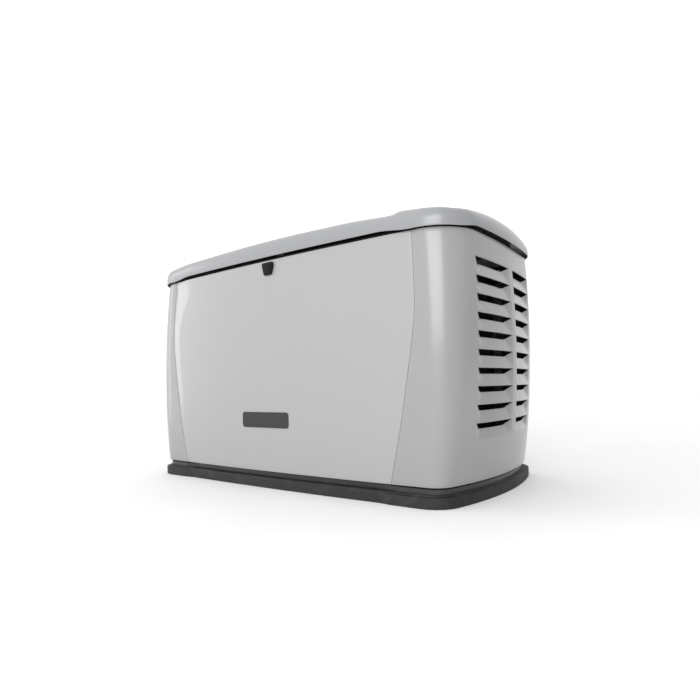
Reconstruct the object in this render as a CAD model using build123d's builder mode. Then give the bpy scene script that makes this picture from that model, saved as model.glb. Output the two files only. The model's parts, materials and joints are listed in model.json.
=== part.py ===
from build123d import *
from collections import namedtuple
from math import cos, radians, sin
import os

# Home standby generator: a louvred sheet-metal enclosure on a composite pad, its hinged lid,
# removable front panel and key lock, a V-twin engine that drives an alternator, and the controls.
# Millimetres. X runs along the length (to the right, seen from the front), the front faces -Y and
# Z is up. The origin is the middle of the underside.

# ---- enclosure sizes ----
PAD_HEIGHT = 31.0
FRAME_TOP_Z = 49.0
FLOOR_Z = 35.0
PANEL_TOP_Z = 669.0
RIM_Z = 678.0
ROOF_Z = 726.0
HEIGHT = 732.0
SHEET = 2.5
LID_SHEET = 3.0

# A plan outline: half sizes at the middles of the sides, how far each side bows, corner radius.
Outline = namedtuple("Outline", "half_x half_y front_bow end_bow corner_r")
PAD_PLAN = Outline(594.0, 319.0, 15.5, 50.0, 56.0)
PAD_CORNER_PLAN = Outline(598.0, 318.8, 4.0, 50.0, 78.0)
PANEL_LOW = Outline(589.5, 314.5, 15.4, 50.0, 54.0)
PANEL_MID = Outline(609.0, 316.5, 17.5, 40.0, 86.0)
PANEL_HIGH = Outline(596.0, 305.3, 19.5, 18.0, 118.0)
LID_PLAN = Outline(607.0, 313.5, 19.5, 24.0, 124.0)
PANEL_MID_Z = (FRAME_TOP_Z + PANEL_TOP_Z) / 2

SEAM_X = 470.0
SEAM_GAP = 1.5
# The front seams: (Z, half X), from above the panel to below it. They lean inwards towards the base.
FRONT_SEAM = (
    (690.0, 469.0),
    (640.0, 471.5),
    (560.0, 476.0),
    (470.0, 479.0),
    (400.0, 471.5),
    (300.0, 456.0),
    (200.0, 439.0),
    (30.0, 402.0),
)
BEYOND = 400.0

PAD_CORNER_X = 420.0
PAD_RAMP = 50.0
LEDGE_STEP = 4.0
ANCHOR_X = 490.0
ANCHOR_Y = 225.0
ANCHOR_R = 7.0

LOUVRE_ROWS = 10
LOUVRE_PITCH = 45.6
LOUVRE_TOP_Z = 606.0
LOUVRE_HEIGHT = 15.0
LOUVRE_TAPER = 27.0
# The two louvre columns on each end panel: (middle Y, width).
LOUVRE_COLUMNS = ((-90.0, 200.0), (121.0, 156.0))

LID_SHOULDER_R = 28.0
# The two raised zones of the roof: (left X, right X, half width, corner radius, top Z).
LID_RAISED = ((-330.0, 200.0, 262.0, 60.0, 731.0), (425.0, 560.0, 150.0, 50.0, HEIGHT))
RAISED_TAPER = 45.0
LINER_MARGIN = 47.0
LINER_THICK = 18.0
SEAL_TOP_Z = 677.5
SEAL_WIDTH = 8.0

# ---- hinge ----
HINGE_Y = 311.0
HINGE_Z = 669.0
HINGE_X = 350.0
HINGE_KNUCKLE_R = 5.0
HINGE_PIN_R = 2.5
HINGE_FIT = 0.05
BASE_LEAF_Y = (302.6, 305.1)
LID_LEAF_Y = (299.9, 302.4)
KNUCKLE_HALF = 14.0
LEAF_HALF = 40.0

# ---- lock ----
LOCK_Z = 644.0
LOCK_BARREL_R = 8.0
LOCK_FACE_Y = -309.2
CAM_Y = (-292.0, -289.0)
CAM_LENGTH = 22.0
CAM_HALF_WIDTH = 6.0
COVER_TOP_Z = 662.0
COVER_HEIGHT = 37.0
COVER_TOP_WIDTH = 49.0
COVER_SIDE_ANGLE = 75.6
COVER_FRONT_Y = -316.0
COVER_BACK_Y = -309.8

# ---- engine ----
CRANK_Z = 230.0
BANK_ANGLE = 45.0
BANK_X = {-1: 55.0, 1: 85.0}
CASE_X = (-30.0, 170.0)
CASE_HALF_Y = 95.0
CASE_Z = (120.0, 290.0)
DECK = 105.0
HEAD_START = 200.0
HEAD_END = 250.0
ROCKER_END = 285.0
HEAD_HALF = 52.0
FIN_R = 58.0
BARREL_R = 46.0
FIN_PITCH = 10.0
FIN_THICK = 2.5
SHAFT_R = 16.0
SHAFT_FIT = 0.05
CAVITY_R = 72.0
BLOWER_X = (172.0, 250.0)
BLOWER_R = 148.0
BLOWER_WALL = 4.0
BLOWER_INLET_R = 95.0
FAN_X = (185.0, 236.0)
FAN_R = 136.0
FAN_BLADES = 18

# ---- alternator ----
STATOR_X = (-262.0, -47.0)
STATOR_R = 105.0
STATOR_BORE_R = 80.0
ROTOR_X = (-245.0, -62.0)
ROTOR_R = 78.5
JOURNAL_R = 12.0
CARRIER_X = (-300.0, -262.0)
MOUNT_TOP_Z = 80.0

# ---- partitions, exhaust, fuel, controls ----
DIVIDER_X = (-368.0, -365.0)
PARTITION_X = (258.0, 261.0)
WALL_HALF_Y = 262.0
WALL_TOP_Z = 650.0
PIPE_R = 16.0
EXHAUST_Z = 330.0
MUFFLER_X = -470.0
MUFFLER_R = 85.0
MUFFLER_HALF_Y = 170.0
STUB_Y = 130.0
THROTTLE_X = 70.0
THROTTLE_Z = (490.0, 535.0)
REGULATOR_Y = 200.0
FUEL_X = -325.0
FUEL_Z = 110.0
FUEL_PIPE_R = 10.6
CONTROL_X = (262.0, 480.0)
BREAKER_X = (480.0, 542.0)
BATTERY_SIZE = (208.0, 173.0, 197.0)
BATTERY_CENTRE = (404.0, -148.0)
BUTTON_R = 5.0
BUTTON_GAP = 0.3
BUTTON_HEIGHT = 5.0
BUTTON_POCKET = 3.0


def grown(plan, amount):
    """The same outline, moved outwards by amount (inwards when it is negative)."""
    return Outline(
        plan.half_x + amount,
        plan.half_y + amount,
        plan.front_bow,
        plan.end_bow,
        plan.corner_r + amount,
    )


def plan_face(plan, z):
    """A plan outline at height z: four bowed sides, with round corners between them."""
    corner_x = plan.half_x - plan.end_bow
    corner_y = plan.half_y - plan.front_bow
    with BuildSketch(Plane.XY.offset(z)) as sketch:
        with BuildLine():
            ThreePointArc((-corner_x, -corner_y), (0, -plan.half_y), (corner_x, -corner_y))
            ThreePointArc((corner_x, -corner_y), (plan.half_x, 0), (corner_x, corner_y))
            ThreePointArc((corner_x, corner_y), (0, plan.half_y), (-corner_x, corner_y))
            ThreePointArc((-corner_x, corner_y), (-plan.half_x, 0), (-corner_x, -corner_y))
        make_face()
        fillet(sketch.vertices(), plan.corner_r)
    return sketch.sketch


def panel_body(inset):
    """The barrel-shaped enclosure body, inset from the outer skin."""
    with BuildPart() as body:
        loft(
            sections=[
                plan_face(grown(PANEL_LOW, -inset), FRAME_TOP_Z),
                plan_face(grown(PANEL_MID, -inset), PANEL_MID_Z),
                plan_face(grown(PANEL_HIGH, -inset), PANEL_TOP_Z),
            ]
        )
    return body.part


def bowed_y(plan, x):
    """How far out the front or rear side of an outline is at x."""
    return plan.half_y - plan.front_bow * (x / (plan.half_x - plan.end_bow)) ** 2


def rear_skin_y(x, z):
    """Y of the rear panel's outer skin: a parabola through the three outlines of the body."""
    s = (z - FRAME_TOP_Z) / (PANEL_TOP_Z - FRAME_TOP_Z)
    low = 2 * (s - 0.5) * (s - 1)
    middle = 4 * s * (1 - s)
    high = s * (2 * s - 1)
    return low * bowed_y(PANEL_LOW, x) + middle * bowed_y(PANEL_MID, x) + high * bowed_y(PANEL_HIGH, x)


def bank_plane(side, along):
    """A plane square to a cylinder's axis, at a distance along it from the crankshaft."""
    tilt = radians(BANK_ANGLE)
    direction = Vector(0, side * sin(tilt), cos(tilt))
    origin = Vector(BANK_X[side], 0, CRANK_Z) + direction * along
    return Plane(origin=origin, x_dir=(1, 0, 0), z_dir=direction)


# ---- base ----
# The ramps from the pad's sides out to its corner blocks, as (X, Y), run on a little at both ends.
RAMP_OVERRUN = 0.4
ramp_start = Vector(PAD_CORNER_X - PAD_RAMP, bowed_y(PAD_PLAN, PAD_CORNER_X - PAD_RAMP))
ramp_end = Vector(PAD_CORNER_X, bowed_y(PAD_CORNER_PLAN, PAD_CORNER_X))
ramp = ramp_end - ramp_start
RAMP_IN_X, RAMP_IN_Y, _ = ramp_start - ramp * RAMP_OVERRUN
RAMP_OUT_X, RAMP_OUT_Y, _ = ramp_end + ramp * RAMP_OVERRUN
with BuildPart() as pad_corners:
    add(plan_face(PAD_CORNER_PLAN, 0))
    extrude(amount=PAD_HEIGHT - LEDGE_STEP)
    with BuildSketch():
        with BuildLine():
            Polyline(
                (-RAMP_OUT_X, BEYOND),
                (-RAMP_OUT_X, RAMP_OUT_Y),
                (-RAMP_IN_X, RAMP_IN_Y),
                (-RAMP_IN_X, -RAMP_IN_Y),
                (-RAMP_OUT_X, -RAMP_OUT_Y),
                (-RAMP_OUT_X, -BEYOND),
                (RAMP_OUT_X, -BEYOND),
                (RAMP_OUT_X, -RAMP_OUT_Y),
                (RAMP_IN_X, -RAMP_IN_Y),
                (RAMP_IN_X, RAMP_IN_Y),
                (RAMP_OUT_X, RAMP_OUT_Y),
                (RAMP_OUT_X, BEYOND),
                close=True,
            )
        make_face()
    extrude(amount=PAD_HEIGHT, mode=Mode.SUBTRACT)

with BuildPart() as mounting_pad:
    add(plan_face(PAD_PLAN, 0))
    extrude(amount=PAD_HEIGHT)
    add(pad_corners.part)
    with BuildSketch():
        with GridLocations(2 * ANCHOR_X, 2 * ANCHOR_Y, 2, 2):
            Circle(ANCHOR_R)
    extrude(amount=PAD_HEIGHT, mode=Mode.SUBTRACT)

with BuildPart() as base_frame:
    add(plan_face(grown(PANEL_LOW, -1.0), PAD_HEIGHT))
    extrude(amount=FRAME_TOP_Z - PAD_HEIGHT)
    add(plan_face(grown(PANEL_LOW, -30.0), FLOOR_Z))
    extrude(amount=FRAME_TOP_Z - FLOOR_Z, mode=Mode.SUBTRACT)
    with BuildSketch(Plane.XY.offset(PAD_HEIGHT)):
        with GridLocations(2 * ANCHOR_X, 2 * ANCHOR_Y, 2, 2):
            Circle(ANCHOR_R)
    extrude(amount=FLOOR_Z - PAD_HEIGHT, mode=Mode.SUBTRACT)

# ---- enclosure panels, cut from one barrel-shaped skin ----
skin = panel_body(0) - panel_body(SHEET)
REAR_WIDTH = 2 * SEAM_X - SEAM_GAP
PANEL_RISE = PANEL_TOP_Z - FRAME_TOP_Z


def front_opening(overlap):
    """Everything in front of the middle and between the front seams, widened by overlap at each seam."""
    with BuildPart() as opening:
        with BuildSketch(Plane.XZ):
            with BuildLine():
                right = Spline(*[(x + overlap, z) for z, x in FRONT_SEAM])
                left = Spline(*[(-x - overlap, z) for z, x in FRONT_SEAM])
                Line(right @ 0, left @ 0)
                Line(right @ 1, left @ 1)
            make_face()
        extrude(amount=BEYOND)
    return opening.part


with BuildPart() as front_panel:
    add(skin)
    add(front_opening(-SEAM_GAP / 2), mode=Mode.INTERSECT)
    with BuildSketch(Plane.XZ):
        with Locations((0, LOCK_Z)):
            Circle(LOCK_BARREL_R)
    extrude(amount=BEYOND, mode=Mode.SUBTRACT)

NAMEPLATE_SIZE = (190.0, 46.0)
NAMEPLATE_CENTRE = (-20.0, 200.0)
NAMEPLATE_THICK = 1.6
NAMEPLATE_CORNER_R = 9.0
with BuildPart() as nameplate:
    add(panel_body(-NAMEPLATE_THICK))
    add(panel_body(0), mode=Mode.SUBTRACT)
    with BuildSketch(Plane.XZ):
        with Locations(NAMEPLATE_CENTRE):
            RectangleRounded(*NAMEPLATE_SIZE, NAMEPLATE_CORNER_R)
    extrude(amount=BEYOND, mode=Mode.INTERSECT)

SCREW_X = 455.0
SCREW_ZS = (90.0, 270.0, 450.0, 630.0)
SCREW_R = 2.4
SCREW_HEAD_R = 5.5
SCREW_HEAD = 2.2
with BuildPart() as rear_panel:
    add(skin)
    with BuildSketch(Plane.XY.offset(FRAME_TOP_Z)):
        with Locations((0, BEYOND / 2)):
            Rectangle(REAR_WIDTH, BEYOND)
    extrude(amount=PANEL_RISE, mode=Mode.INTERSECT)
    with BuildSketch(Plane.XZ):
        for z in SCREW_ZS:
            with Locations((-SCREW_X, z), (SCREW_X, z)):
                Circle(SCREW_R)
        with Locations((FUEL_X, FUEL_Z)):
            Circle(FUEL_PIPE_R)
    extrude(amount=-BEYOND, mode=Mode.SUBTRACT)


def end_panel(side):
    """A louvred end panel that wraps round both corners to the seams."""
    with BuildPart() as panel:
        add(skin)
        with BuildSketch(Plane.XY.offset(FRAME_TOP_Z)):
            with Locations((side * BEYOND, 0)):
                Rectangle(2 * BEYOND, 2 * BEYOND)
        extrude(amount=PANEL_RISE, mode=Mode.INTERSECT)
        add(front_opening(SEAM_GAP / 2), mode=Mode.SUBTRACT)
        with BuildSketch(Plane.XY.offset(FRAME_TOP_Z)):
            with Locations((0, BEYOND / 2)):
                Rectangle(REAR_WIDTH + 2 * SEAM_GAP, BEYOND)
        extrude(amount=PANEL_RISE, mode=Mode.SUBTRACT)
        with BuildSketch(Plane.YZ):
            for middle_y, width in LOUVRE_COLUMNS:
                for row in range(LOUVRE_ROWS):
                    slot_z = LOUVRE_TOP_Z - row * LOUVRE_PITCH - LOUVRE_HEIGHT / 2
                    with Locations((middle_y, slot_z)):
                        Trapezoid(width, LOUVRE_HEIGHT, LOUVRE_TAPER, rotation=180)
        extrude(amount=side * 2 * BEYOND, mode=Mode.SUBTRACT)
    return panel


left_end_panel = end_panel(-1)
right_end_panel = end_panel(1)

POST_SIZE = (30.0, 20.0)
POST_Y = 276.0
POST_TOP_Z = 655.0
RAIL_Z = (585.0, 605.0)
RAIL_DEPTH = 14.0
with BuildPart() as frame_uprights:
    with BuildSketch(Plane.XY.offset(FRAME_TOP_Z)):
        with GridLocations(2 * SEAM_X, 2 * POST_Y, 2, 2):
            Rectangle(*POST_SIZE)
    extrude(amount=POST_TOP_Z - FRAME_TOP_Z)
    with BuildSketch(Plane.XY.offset(RAIL_Z[0])):
        with GridLocations(0, 2 * POST_Y, 1, 2):
            Rectangle(2 * SEAM_X - POST_SIZE[0], RAIL_DEPTH)
    extrude(amount=RAIL_Z[1] - RAIL_Z[0])
    with BuildSketch(Plane.XZ):
        for z in SCREW_ZS:
            with Locations((-SCREW_X - 5, z), (SCREW_X + 5, z)):
                Circle(SCREW_R)
    extrude(amount=-(POST_Y + POST_SIZE[1]), mode=Mode.SUBTRACT)

with BuildPart() as panel_screws:
    for z in SCREW_ZS:
        for x in (-SCREW_X, SCREW_X):
            head_y = rear_skin_y(x, z) + 0.6
            with BuildSketch(Plane.XZ.offset(-head_y)):
                with Locations((x, z)):
                    Circle(SCREW_HEAD_R)
            extrude(amount=-SCREW_HEAD)
            with BuildSketch(Plane.XZ.offset(-head_y)):
                with Locations((x, z)):
                    Circle(SCREW_R)
            extrude(amount=head_y - POST_Y - POST_SIZE[1] / 2)

# ---- lid ----


def lid_dome(inset):
    """The lid's solid shape, inset from its outer skin, with a round shoulder."""
    with BuildPart() as dome:
        add(plan_face(grown(LID_PLAN, -inset), RIM_Z))
        extrude(amount=ROOF_Z - RIM_Z - inset)
        fillet(dome.faces().sort_by(Axis.Z)[-1].edges(), LID_SHOULDER_R - inset)
    return dome.part


with BuildPart() as lid:
    add(lid_dome(0))
    add(lid_dome(LID_SHEET), mode=Mode.SUBTRACT)
    for left, right, half_y, corner_r, top in LID_RAISED:
        with BuildSketch(Plane.XY.offset(ROOF_Z)):
            with Locations(((left + right) / 2, 0)):
                RectangleRounded(right - left, 2 * half_y, corner_r)
        extrude(amount=top - ROOF_Z, taper=RAISED_TAPER)

LINER_TOP_Z = ROOF_Z - LID_SHEET
with BuildPart() as lid_liner:
    add(plan_face(grown(LID_PLAN, -LINER_MARGIN), LINER_TOP_Z - LINER_THICK))
    extrude(amount=LINER_THICK)

with BuildPart() as lid_seal:
    add(plan_face(grown(PANEL_HIGH, 1.0), PANEL_TOP_Z))
    extrude(amount=SEAL_TOP_Z - PANEL_TOP_Z)
    add(plan_face(grown(PANEL_HIGH, -SEAL_WIDTH), PANEL_TOP_Z))
    extrude(amount=SEAL_TOP_Z - PANEL_TOP_Z, mode=Mode.SUBTRACT)

BASE_LEAF_LOW_Z = 628.0
LID_LEAF_TOP_Z = 689.0


def hinge_leaf(profile, spans):
    """A hinge leaf at both hinges: a plate and web profile over spans, bored for the pin."""
    with BuildPart() as leaf:
        for hinge_x in (-HINGE_X, HINGE_X):
            for start, end in spans:
                with BuildSketch(Plane.YZ.offset(hinge_x + start)):
                    with BuildLine():
                        Polyline(*profile, close=True)
                    make_face()
                    with Locations((HINGE_Y, HINGE_Z)):
                        Circle(HINGE_KNUCKLE_R)
                        Circle(HINGE_PIN_R + HINGE_FIT, mode=Mode.SUBTRACT)
                extrude(amount=end - start)
    return leaf


hinge_base_leaves = hinge_leaf(
    [
        (BASE_LEAF_Y[0], BASE_LEAF_LOW_Z),
        (BASE_LEAF_Y[1], BASE_LEAF_LOW_Z),
        (BASE_LEAF_Y[1], HINGE_Z - 14),
        (HINGE_Y + 3, HINGE_Z - 3),
        (HINGE_Y - 3, HINGE_Z - 2),
        (BASE_LEAF_Y[0], HINGE_Z - 9),
    ],
    [(-LEAF_HALF, -KNUCKLE_HALF - 0.5), (KNUCKLE_HALF + 0.5, LEAF_HALF)],
)
hinge_lid_leaves = hinge_leaf(
    [
        (LID_LEAF_Y[0], LID_LEAF_TOP_Z),
        (LID_LEAF_Y[1], LID_LEAF_TOP_Z),
        (LID_LEAF_Y[1], HINGE_Z + 6.5),
        (HINGE_Y + 2, HINGE_Z + 4),
        (HINGE_Y - 3, HINGE_Z + 1),
        (LID_LEAF_Y[0], HINGE_Z + 3.5),
    ],
    [(-KNUCKLE_HALF, KNUCKLE_HALF)],
)

with BuildPart() as hinge_pins:
    for hinge_x in (-HINGE_X, HINGE_X):
        with BuildSketch(Plane.YZ.offset(hinge_x - LEAF_HALF - 2)):
            with Locations((HINGE_Y, HINGE_Z)):
                Circle(HINGE_PIN_R)
        extrude(amount=2 * LEAF_HALF + 4)
        with BuildSketch(Plane.YZ.offset(hinge_x - LEAF_HALF - 2), Plane.YZ.offset(hinge_x + LEAF_HALF)):
            with Locations((HINGE_Y, HINGE_Z)):
                Circle(HINGE_PIN_R + 1.3)
        extrude(amount=2)

# ---- lock ----
with BuildPart() as lock_barrel:
    with BuildSketch(Plane.XZ.offset(-CAM_Y[0])):
        with Locations((0, LOCK_Z)):
            Circle(LOCK_BARREL_R)
    extrude(amount=-LOCK_FACE_Y + CAM_Y[0])
    with BuildSketch(Plane.XZ.offset(-LOCK_FACE_Y)):
        with Locations((0, LOCK_Z)):
            Rectangle(1.6, 7)
    extrude(amount=-4, mode=Mode.SUBTRACT)

with BuildPart() as lock_cam:
    with BuildSketch(Plane.XZ.offset(-CAM_Y[1])):
        with Locations((0, LOCK_Z)):
            Circle(CAM_HALF_WIDTH + 1.5)
        with Locations((0, LOCK_Z + CAM_LENGTH / 2)):
            Rectangle(2 * CAM_HALF_WIDTH, CAM_LENGTH)
    extrude(amount=CAM_Y[1] - CAM_Y[0])
    fillet(lock_cam.edges().filter_by(Axis.Y).group_by(Axis.Z)[-1], 3)

with BuildPart() as lock_cover:
    with BuildSketch(Plane.XZ.offset(-COVER_BACK_Y)) as cover_outline:
        with Locations((0, COVER_TOP_Z - COVER_HEIGHT / 2)):
            Trapezoid(COVER_TOP_WIDTH, COVER_HEIGHT, COVER_SIDE_ANGLE, rotation=180)
        fillet(cover_outline.vertices(), 6)
    extrude(amount=COVER_BACK_Y - COVER_FRONT_Y)
    fillet(lock_cover.faces().sort_by(Axis.Y)[0].edges(), 2)
    with BuildSketch(Plane.XZ.offset(-COVER_BACK_Y)):
        with Locations((0, LOCK_Z)):
            Circle(LOCK_BARREL_R + 2)
    extrude(amount=2, mode=Mode.SUBTRACT)

STRIKER_X = (14.0, 40.0)
STRIKER_PLATE_Y = (-286.0, -283.0)
STRIKER_FOOT_Y = -294.5
STRIKER_FOOT_Z = 634.0
STRIKER_TOP_Z = 699.0
STRIKER_WALL_Y = -307.0
with BuildPart() as lid_striker:
    with BuildSketch(Plane.YZ.offset(STRIKER_X[0])):
        with BuildLine():
            Polyline(
                (STRIKER_FOOT_Y, STRIKER_FOOT_Z),
                (STRIKER_PLATE_Y[1], STRIKER_FOOT_Z),
                (STRIKER_PLATE_Y[1], STRIKER_TOP_Z),
                (STRIKER_WALL_Y, STRIKER_TOP_Z),
                (STRIKER_WALL_Y, STRIKER_TOP_Z - 3),
                (STRIKER_PLATE_Y[0], STRIKER_TOP_Z - 3),
                (STRIKER_PLATE_Y[0], STRIKER_FOOT_Z + 3),
                (STRIKER_FOOT_Y, STRIKER_FOOT_Z + 3),
                close=True,
            )
        make_face()
    extrude(amount=STRIKER_X[1] - STRIKER_X[0])

# ---- partitions ----
with BuildPart() as divider_wall:
    with BuildSketch(Plane.YZ.offset(DIVIDER_X[0])):
        with Locations((0, (FLOOR_Z + WALL_TOP_Z) / 2)):
            Rectangle(2 * WALL_HALF_Y, WALL_TOP_Z - FLOOR_Z)
        with Locations((-STUB_Y, EXHAUST_Z), (STUB_Y, EXHAUST_Z)):
            Circle(PIPE_R + 8, mode=Mode.SUBTRACT)
    extrude(amount=DIVIDER_X[1] - DIVIDER_X[0])

with BuildPart() as intake_partition:
    with BuildSketch(Plane.YZ.offset(PARTITION_X[0])):
        with Locations((0, (FLOOR_Z + WALL_TOP_Z) / 2)):
            Rectangle(2 * WALL_HALF_Y, WALL_TOP_Z - FLOOR_Z)
        with Locations((0, CRANK_Z)):
            Circle(BLOWER_INLET_R + 4, mode=Mode.SUBTRACT)
    extrude(amount=PARTITION_X[1] - PARTITION_X[0])

# ---- engine ----
CASE_LENGTH = CASE_X[1] - CASE_X[0]
CASE_RISE = CASE_Z[1] - CASE_Z[0]
with BuildPart() as crankcase:
    with Locations((sum(CASE_X) / 2, 0, sum(CASE_Z) / 2)):
        Box(CASE_LENGTH, 2 * CASE_HALF_Y, CASE_RISE)
    fillet(crankcase.edges().filter_by(Axis.X), 22)
    for side in (-1, 1):
        with BuildSketch(bank_plane(side, DECK)):
            RectangleRounded(1.9 * HEAD_HALF, 1.9 * HEAD_HALF, 10)
        extrude(amount=-0.6 * DECK)
    with BuildSketch(Plane.YZ.offset(STATOR_X[1])):
        with Locations((0, CRANK_Z)):
            Circle(STATOR_R)
    extrude(amount=CASE_X[0] - STATOR_X[1])
    with BuildSketch(Plane.XY.offset(MOUNT_TOP_Z)):
        with Locations((130, -80), (130, 80)):
            Rectangle(44, 44)
    extrude(amount=CASE_Z[0] - MOUNT_TOP_Z + 20)
    with BuildSketch(Plane.YZ.offset(STATOR_X[1])):
        with Locations((0, CRANK_Z)):
            Circle(SHAFT_R + SHAFT_FIT)
    extrude(amount=CASE_X[1] - STATOR_X[1], mode=Mode.SUBTRACT)
    with BuildSketch(Plane.YZ.offset(CASE_X[0] + 15)):
        with Locations((0, CRANK_Z)):
            Circle(CAVITY_R)
    extrude(amount=CASE_LENGTH - 30, mode=Mode.SUBTRACT)


def bank_parts():
    """Finned barrels, heads and rocker covers of both banks, in that order."""
    fin_count = int((HEAD_START - DECK) / FIN_PITCH)
    with BuildPart() as barrels:
        for side in (-1, 1):
            with BuildSketch(bank_plane(side, DECK)):
                Circle(BARREL_R)
            extrude(amount=HEAD_START - DECK)
            for fin in range(fin_count):
                with BuildSketch(bank_plane(side, DECK + (fin + 0.5) * FIN_PITCH)):
                    Circle(FIN_R)
                extrude(amount=FIN_THICK)
    with BuildPart() as heads:
        for side in (-1, 1):
            with BuildSketch(bank_plane(side, HEAD_START)):
                RectangleRounded(2 * HEAD_HALF - 10, 2 * HEAD_HALF - 10, 10)
            extrude(amount=HEAD_END - HEAD_START)
            for fin in range(4):
                with BuildSketch(bank_plane(side, HEAD_START + 4 + fin * (FIN_PITCH + 1))):
                    RectangleRounded(2 * HEAD_HALF, 2 * HEAD_HALF, 10)
                extrude(amount=FIN_THICK)
    with BuildPart() as covers:
        for side in (-1, 1):
            with BuildSketch(bank_plane(side, HEAD_END)):
                RectangleRounded(1.7 * HEAD_HALF, 1.5 * HEAD_HALF, 16)
            extrude(amount=ROCKER_END - HEAD_END)
        for bank_top in covers.faces().sort_by(Axis.Z)[-2:]:
            fillet(bank_top.edges(), 9)
    return barrels, heads, covers


cylinders, cylinder_heads, rocker_covers = bank_parts()

PLUG_ALONG = 215.0
with BuildPart() as spark_plugs:
    for side in (-1, 1):
        port = bank_plane(side, PLUG_ALONG).origin
        plug_x = port.X - HEAD_HALF
        for radius, start, length in ((6.0, 0.0, 40.0), (10.0, 4.0, 8.0), (8.5, 22.0, 24.0)):
            with BuildSketch(Plane.YZ.offset(plug_x - start)):
                with Locations((port.Y, port.Z)):
                    Circle(radius)
            extrude(amount=-length)

with BuildPart() as blower_housing:
    with BuildSketch(Plane.YZ.offset(BLOWER_X[0])):
        with Locations((0, CRANK_Z)):
            Circle(BLOWER_R)
    extrude(amount=BLOWER_X[1] - BLOWER_X[0])
    fillet(blower_housing.faces().sort_by(Axis.X)[-1].edges(), 10)
    with BuildSketch(Plane.YZ.offset(BLOWER_X[0] + BLOWER_WALL)):
        with Locations((0, CRANK_Z)):
            Circle(BLOWER_R - BLOWER_WALL)
    extrude(amount=BLOWER_X[1] - BLOWER_X[0] - 2 * BLOWER_WALL, mode=Mode.SUBTRACT)
    with BuildSketch(Plane.YZ.offset(BLOWER_X[1] - BLOWER_WALL)):
        with Locations((0, CRANK_Z)):
            Circle(BLOWER_INLET_R)
    extrude(amount=BLOWER_WALL, mode=Mode.SUBTRACT)
    with BuildSketch(Plane.YZ.offset(BLOWER_X[0])):
        with Locations((0, CRANK_Z)):
            Circle(SHAFT_R + 14)
    extrude(amount=BLOWER_WALL, mode=Mode.SUBTRACT)

with BuildPart() as flywheel_fan:
    with BuildSketch(Plane.YZ.offset(FAN_X[0])):
        with Locations((0, CRANK_Z)):
            Circle(FAN_R - 16)
    extrude(amount=12)
    with BuildSketch(Plane.YZ.offset(FAN_X[0] + 12)):
        with Locations((0, CRANK_Z)):
            with PolarLocations((FAN_R + 62) / 2, FAN_BLADES):
                Rectangle(FAN_R - 62, 3.5, rotation=24)
    extrude(amount=FAN_X[1] - FAN_X[0] - 12)
    with BuildSketch(Plane.YZ.offset(FAN_X[0])):
        with Locations((0, CRANK_Z)):
            Circle(40)
    extrude(amount=FAN_X[1] - FAN_X[0])
    with BuildSketch(Plane.YZ.offset(FAN_X[0])):
        with Locations((0, CRANK_Z)):
            Circle(SHAFT_R)
    extrude(amount=FAN_X[1] - FAN_X[0], mode=Mode.SUBTRACT)

CRANK_THROW = 32.0
CRANK_END_X = 240.0
CRANK_WEB_X = (28.0, 92.0)
CRANK_WEB_THICK = 20.0
CRANKPIN_R = 19.0
CRANKPIN_X = (40.0, 100.0)
JOURNAL_GAP = 44.0
with BuildPart() as crankshaft:
    with BuildSketch(Plane.YZ.offset(ROTOR_X[1])):
        with Locations((0, CRANK_Z)):
            Circle(SHAFT_R)
    extrude(amount=CRANK_END_X - ROTOR_X[1])
    with BuildSketch(Plane.YZ.offset(sum(BANK_X.values()) / 2 - JOURNAL_GAP / 2)):
        with Locations((0, CRANK_Z)):
            Circle(SHAFT_R)
    extrude(amount=JOURNAL_GAP, mode=Mode.SUBTRACT)
    with BuildSketch(Plane.YZ.offset(CRANK_WEB_X[0]), Plane.YZ.offset(CRANK_WEB_X[1])):
        with Locations((0, CRANK_Z)):
            Circle(CRANK_THROW + 28)
    extrude(amount=CRANK_WEB_THICK)
    with BuildSketch(Plane.YZ.offset(CRANKPIN_X[0])):
        with Locations((0, CRANK_Z + CRANK_THROW)):
            Circle(CRANKPIN_R)
    extrude(amount=CRANKPIN_X[1] - CRANKPIN_X[0])

FILTER_AT = (40.0, 175.0)
FILTER_R = 38.0
FILTER_LENGTH = 82.0
with BuildPart() as oil_filter:
    with BuildSketch(Plane.XZ.offset(CASE_HALF_Y)):
        with Locations(FILTER_AT):
            Circle(FILTER_R)
    extrude(amount=FILTER_LENGTH)
    fillet(oil_filter.faces().sort_by(Axis.Y)[0].edges(), 8)

STARTER_AT = (146.0, 165.0)
STARTER_X = (20.0, 160.0)
STARTER_R = 36.0
SWITCH_X = (40.0, 110.0)
SWITCH_RISE = 47.0
SWITCH_R = 17.0
FLANGE_X = (60.0, 120.0)
FLANGE_Y = 103.0
with BuildPart() as starter_motor:
    with BuildSketch(Plane.YZ.offset(STARTER_X[0])):
        with Locations(STARTER_AT):
            Circle(STARTER_R)
    extrude(amount=STARTER_X[1] - STARTER_X[0])
    fillet(starter_motor.faces().sort_by(Axis.X)[0].edges(), 6)
    with BuildSketch(Plane.YZ.offset(SWITCH_X[0])):
        with Locations((STARTER_AT[0], STARTER_AT[1] + SWITCH_RISE)):
            Circle(SWITCH_R)
    extrude(amount=SWITCH_X[1] - SWITCH_X[0])
    with BuildSketch(Plane.YZ.offset(FLANGE_X[0])):
        with Locations((FLANGE_Y, STARTER_AT[1])):
            Rectangle(16, 50)
    extrude(amount=FLANGE_X[1] - FLANGE_X[0])

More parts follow.
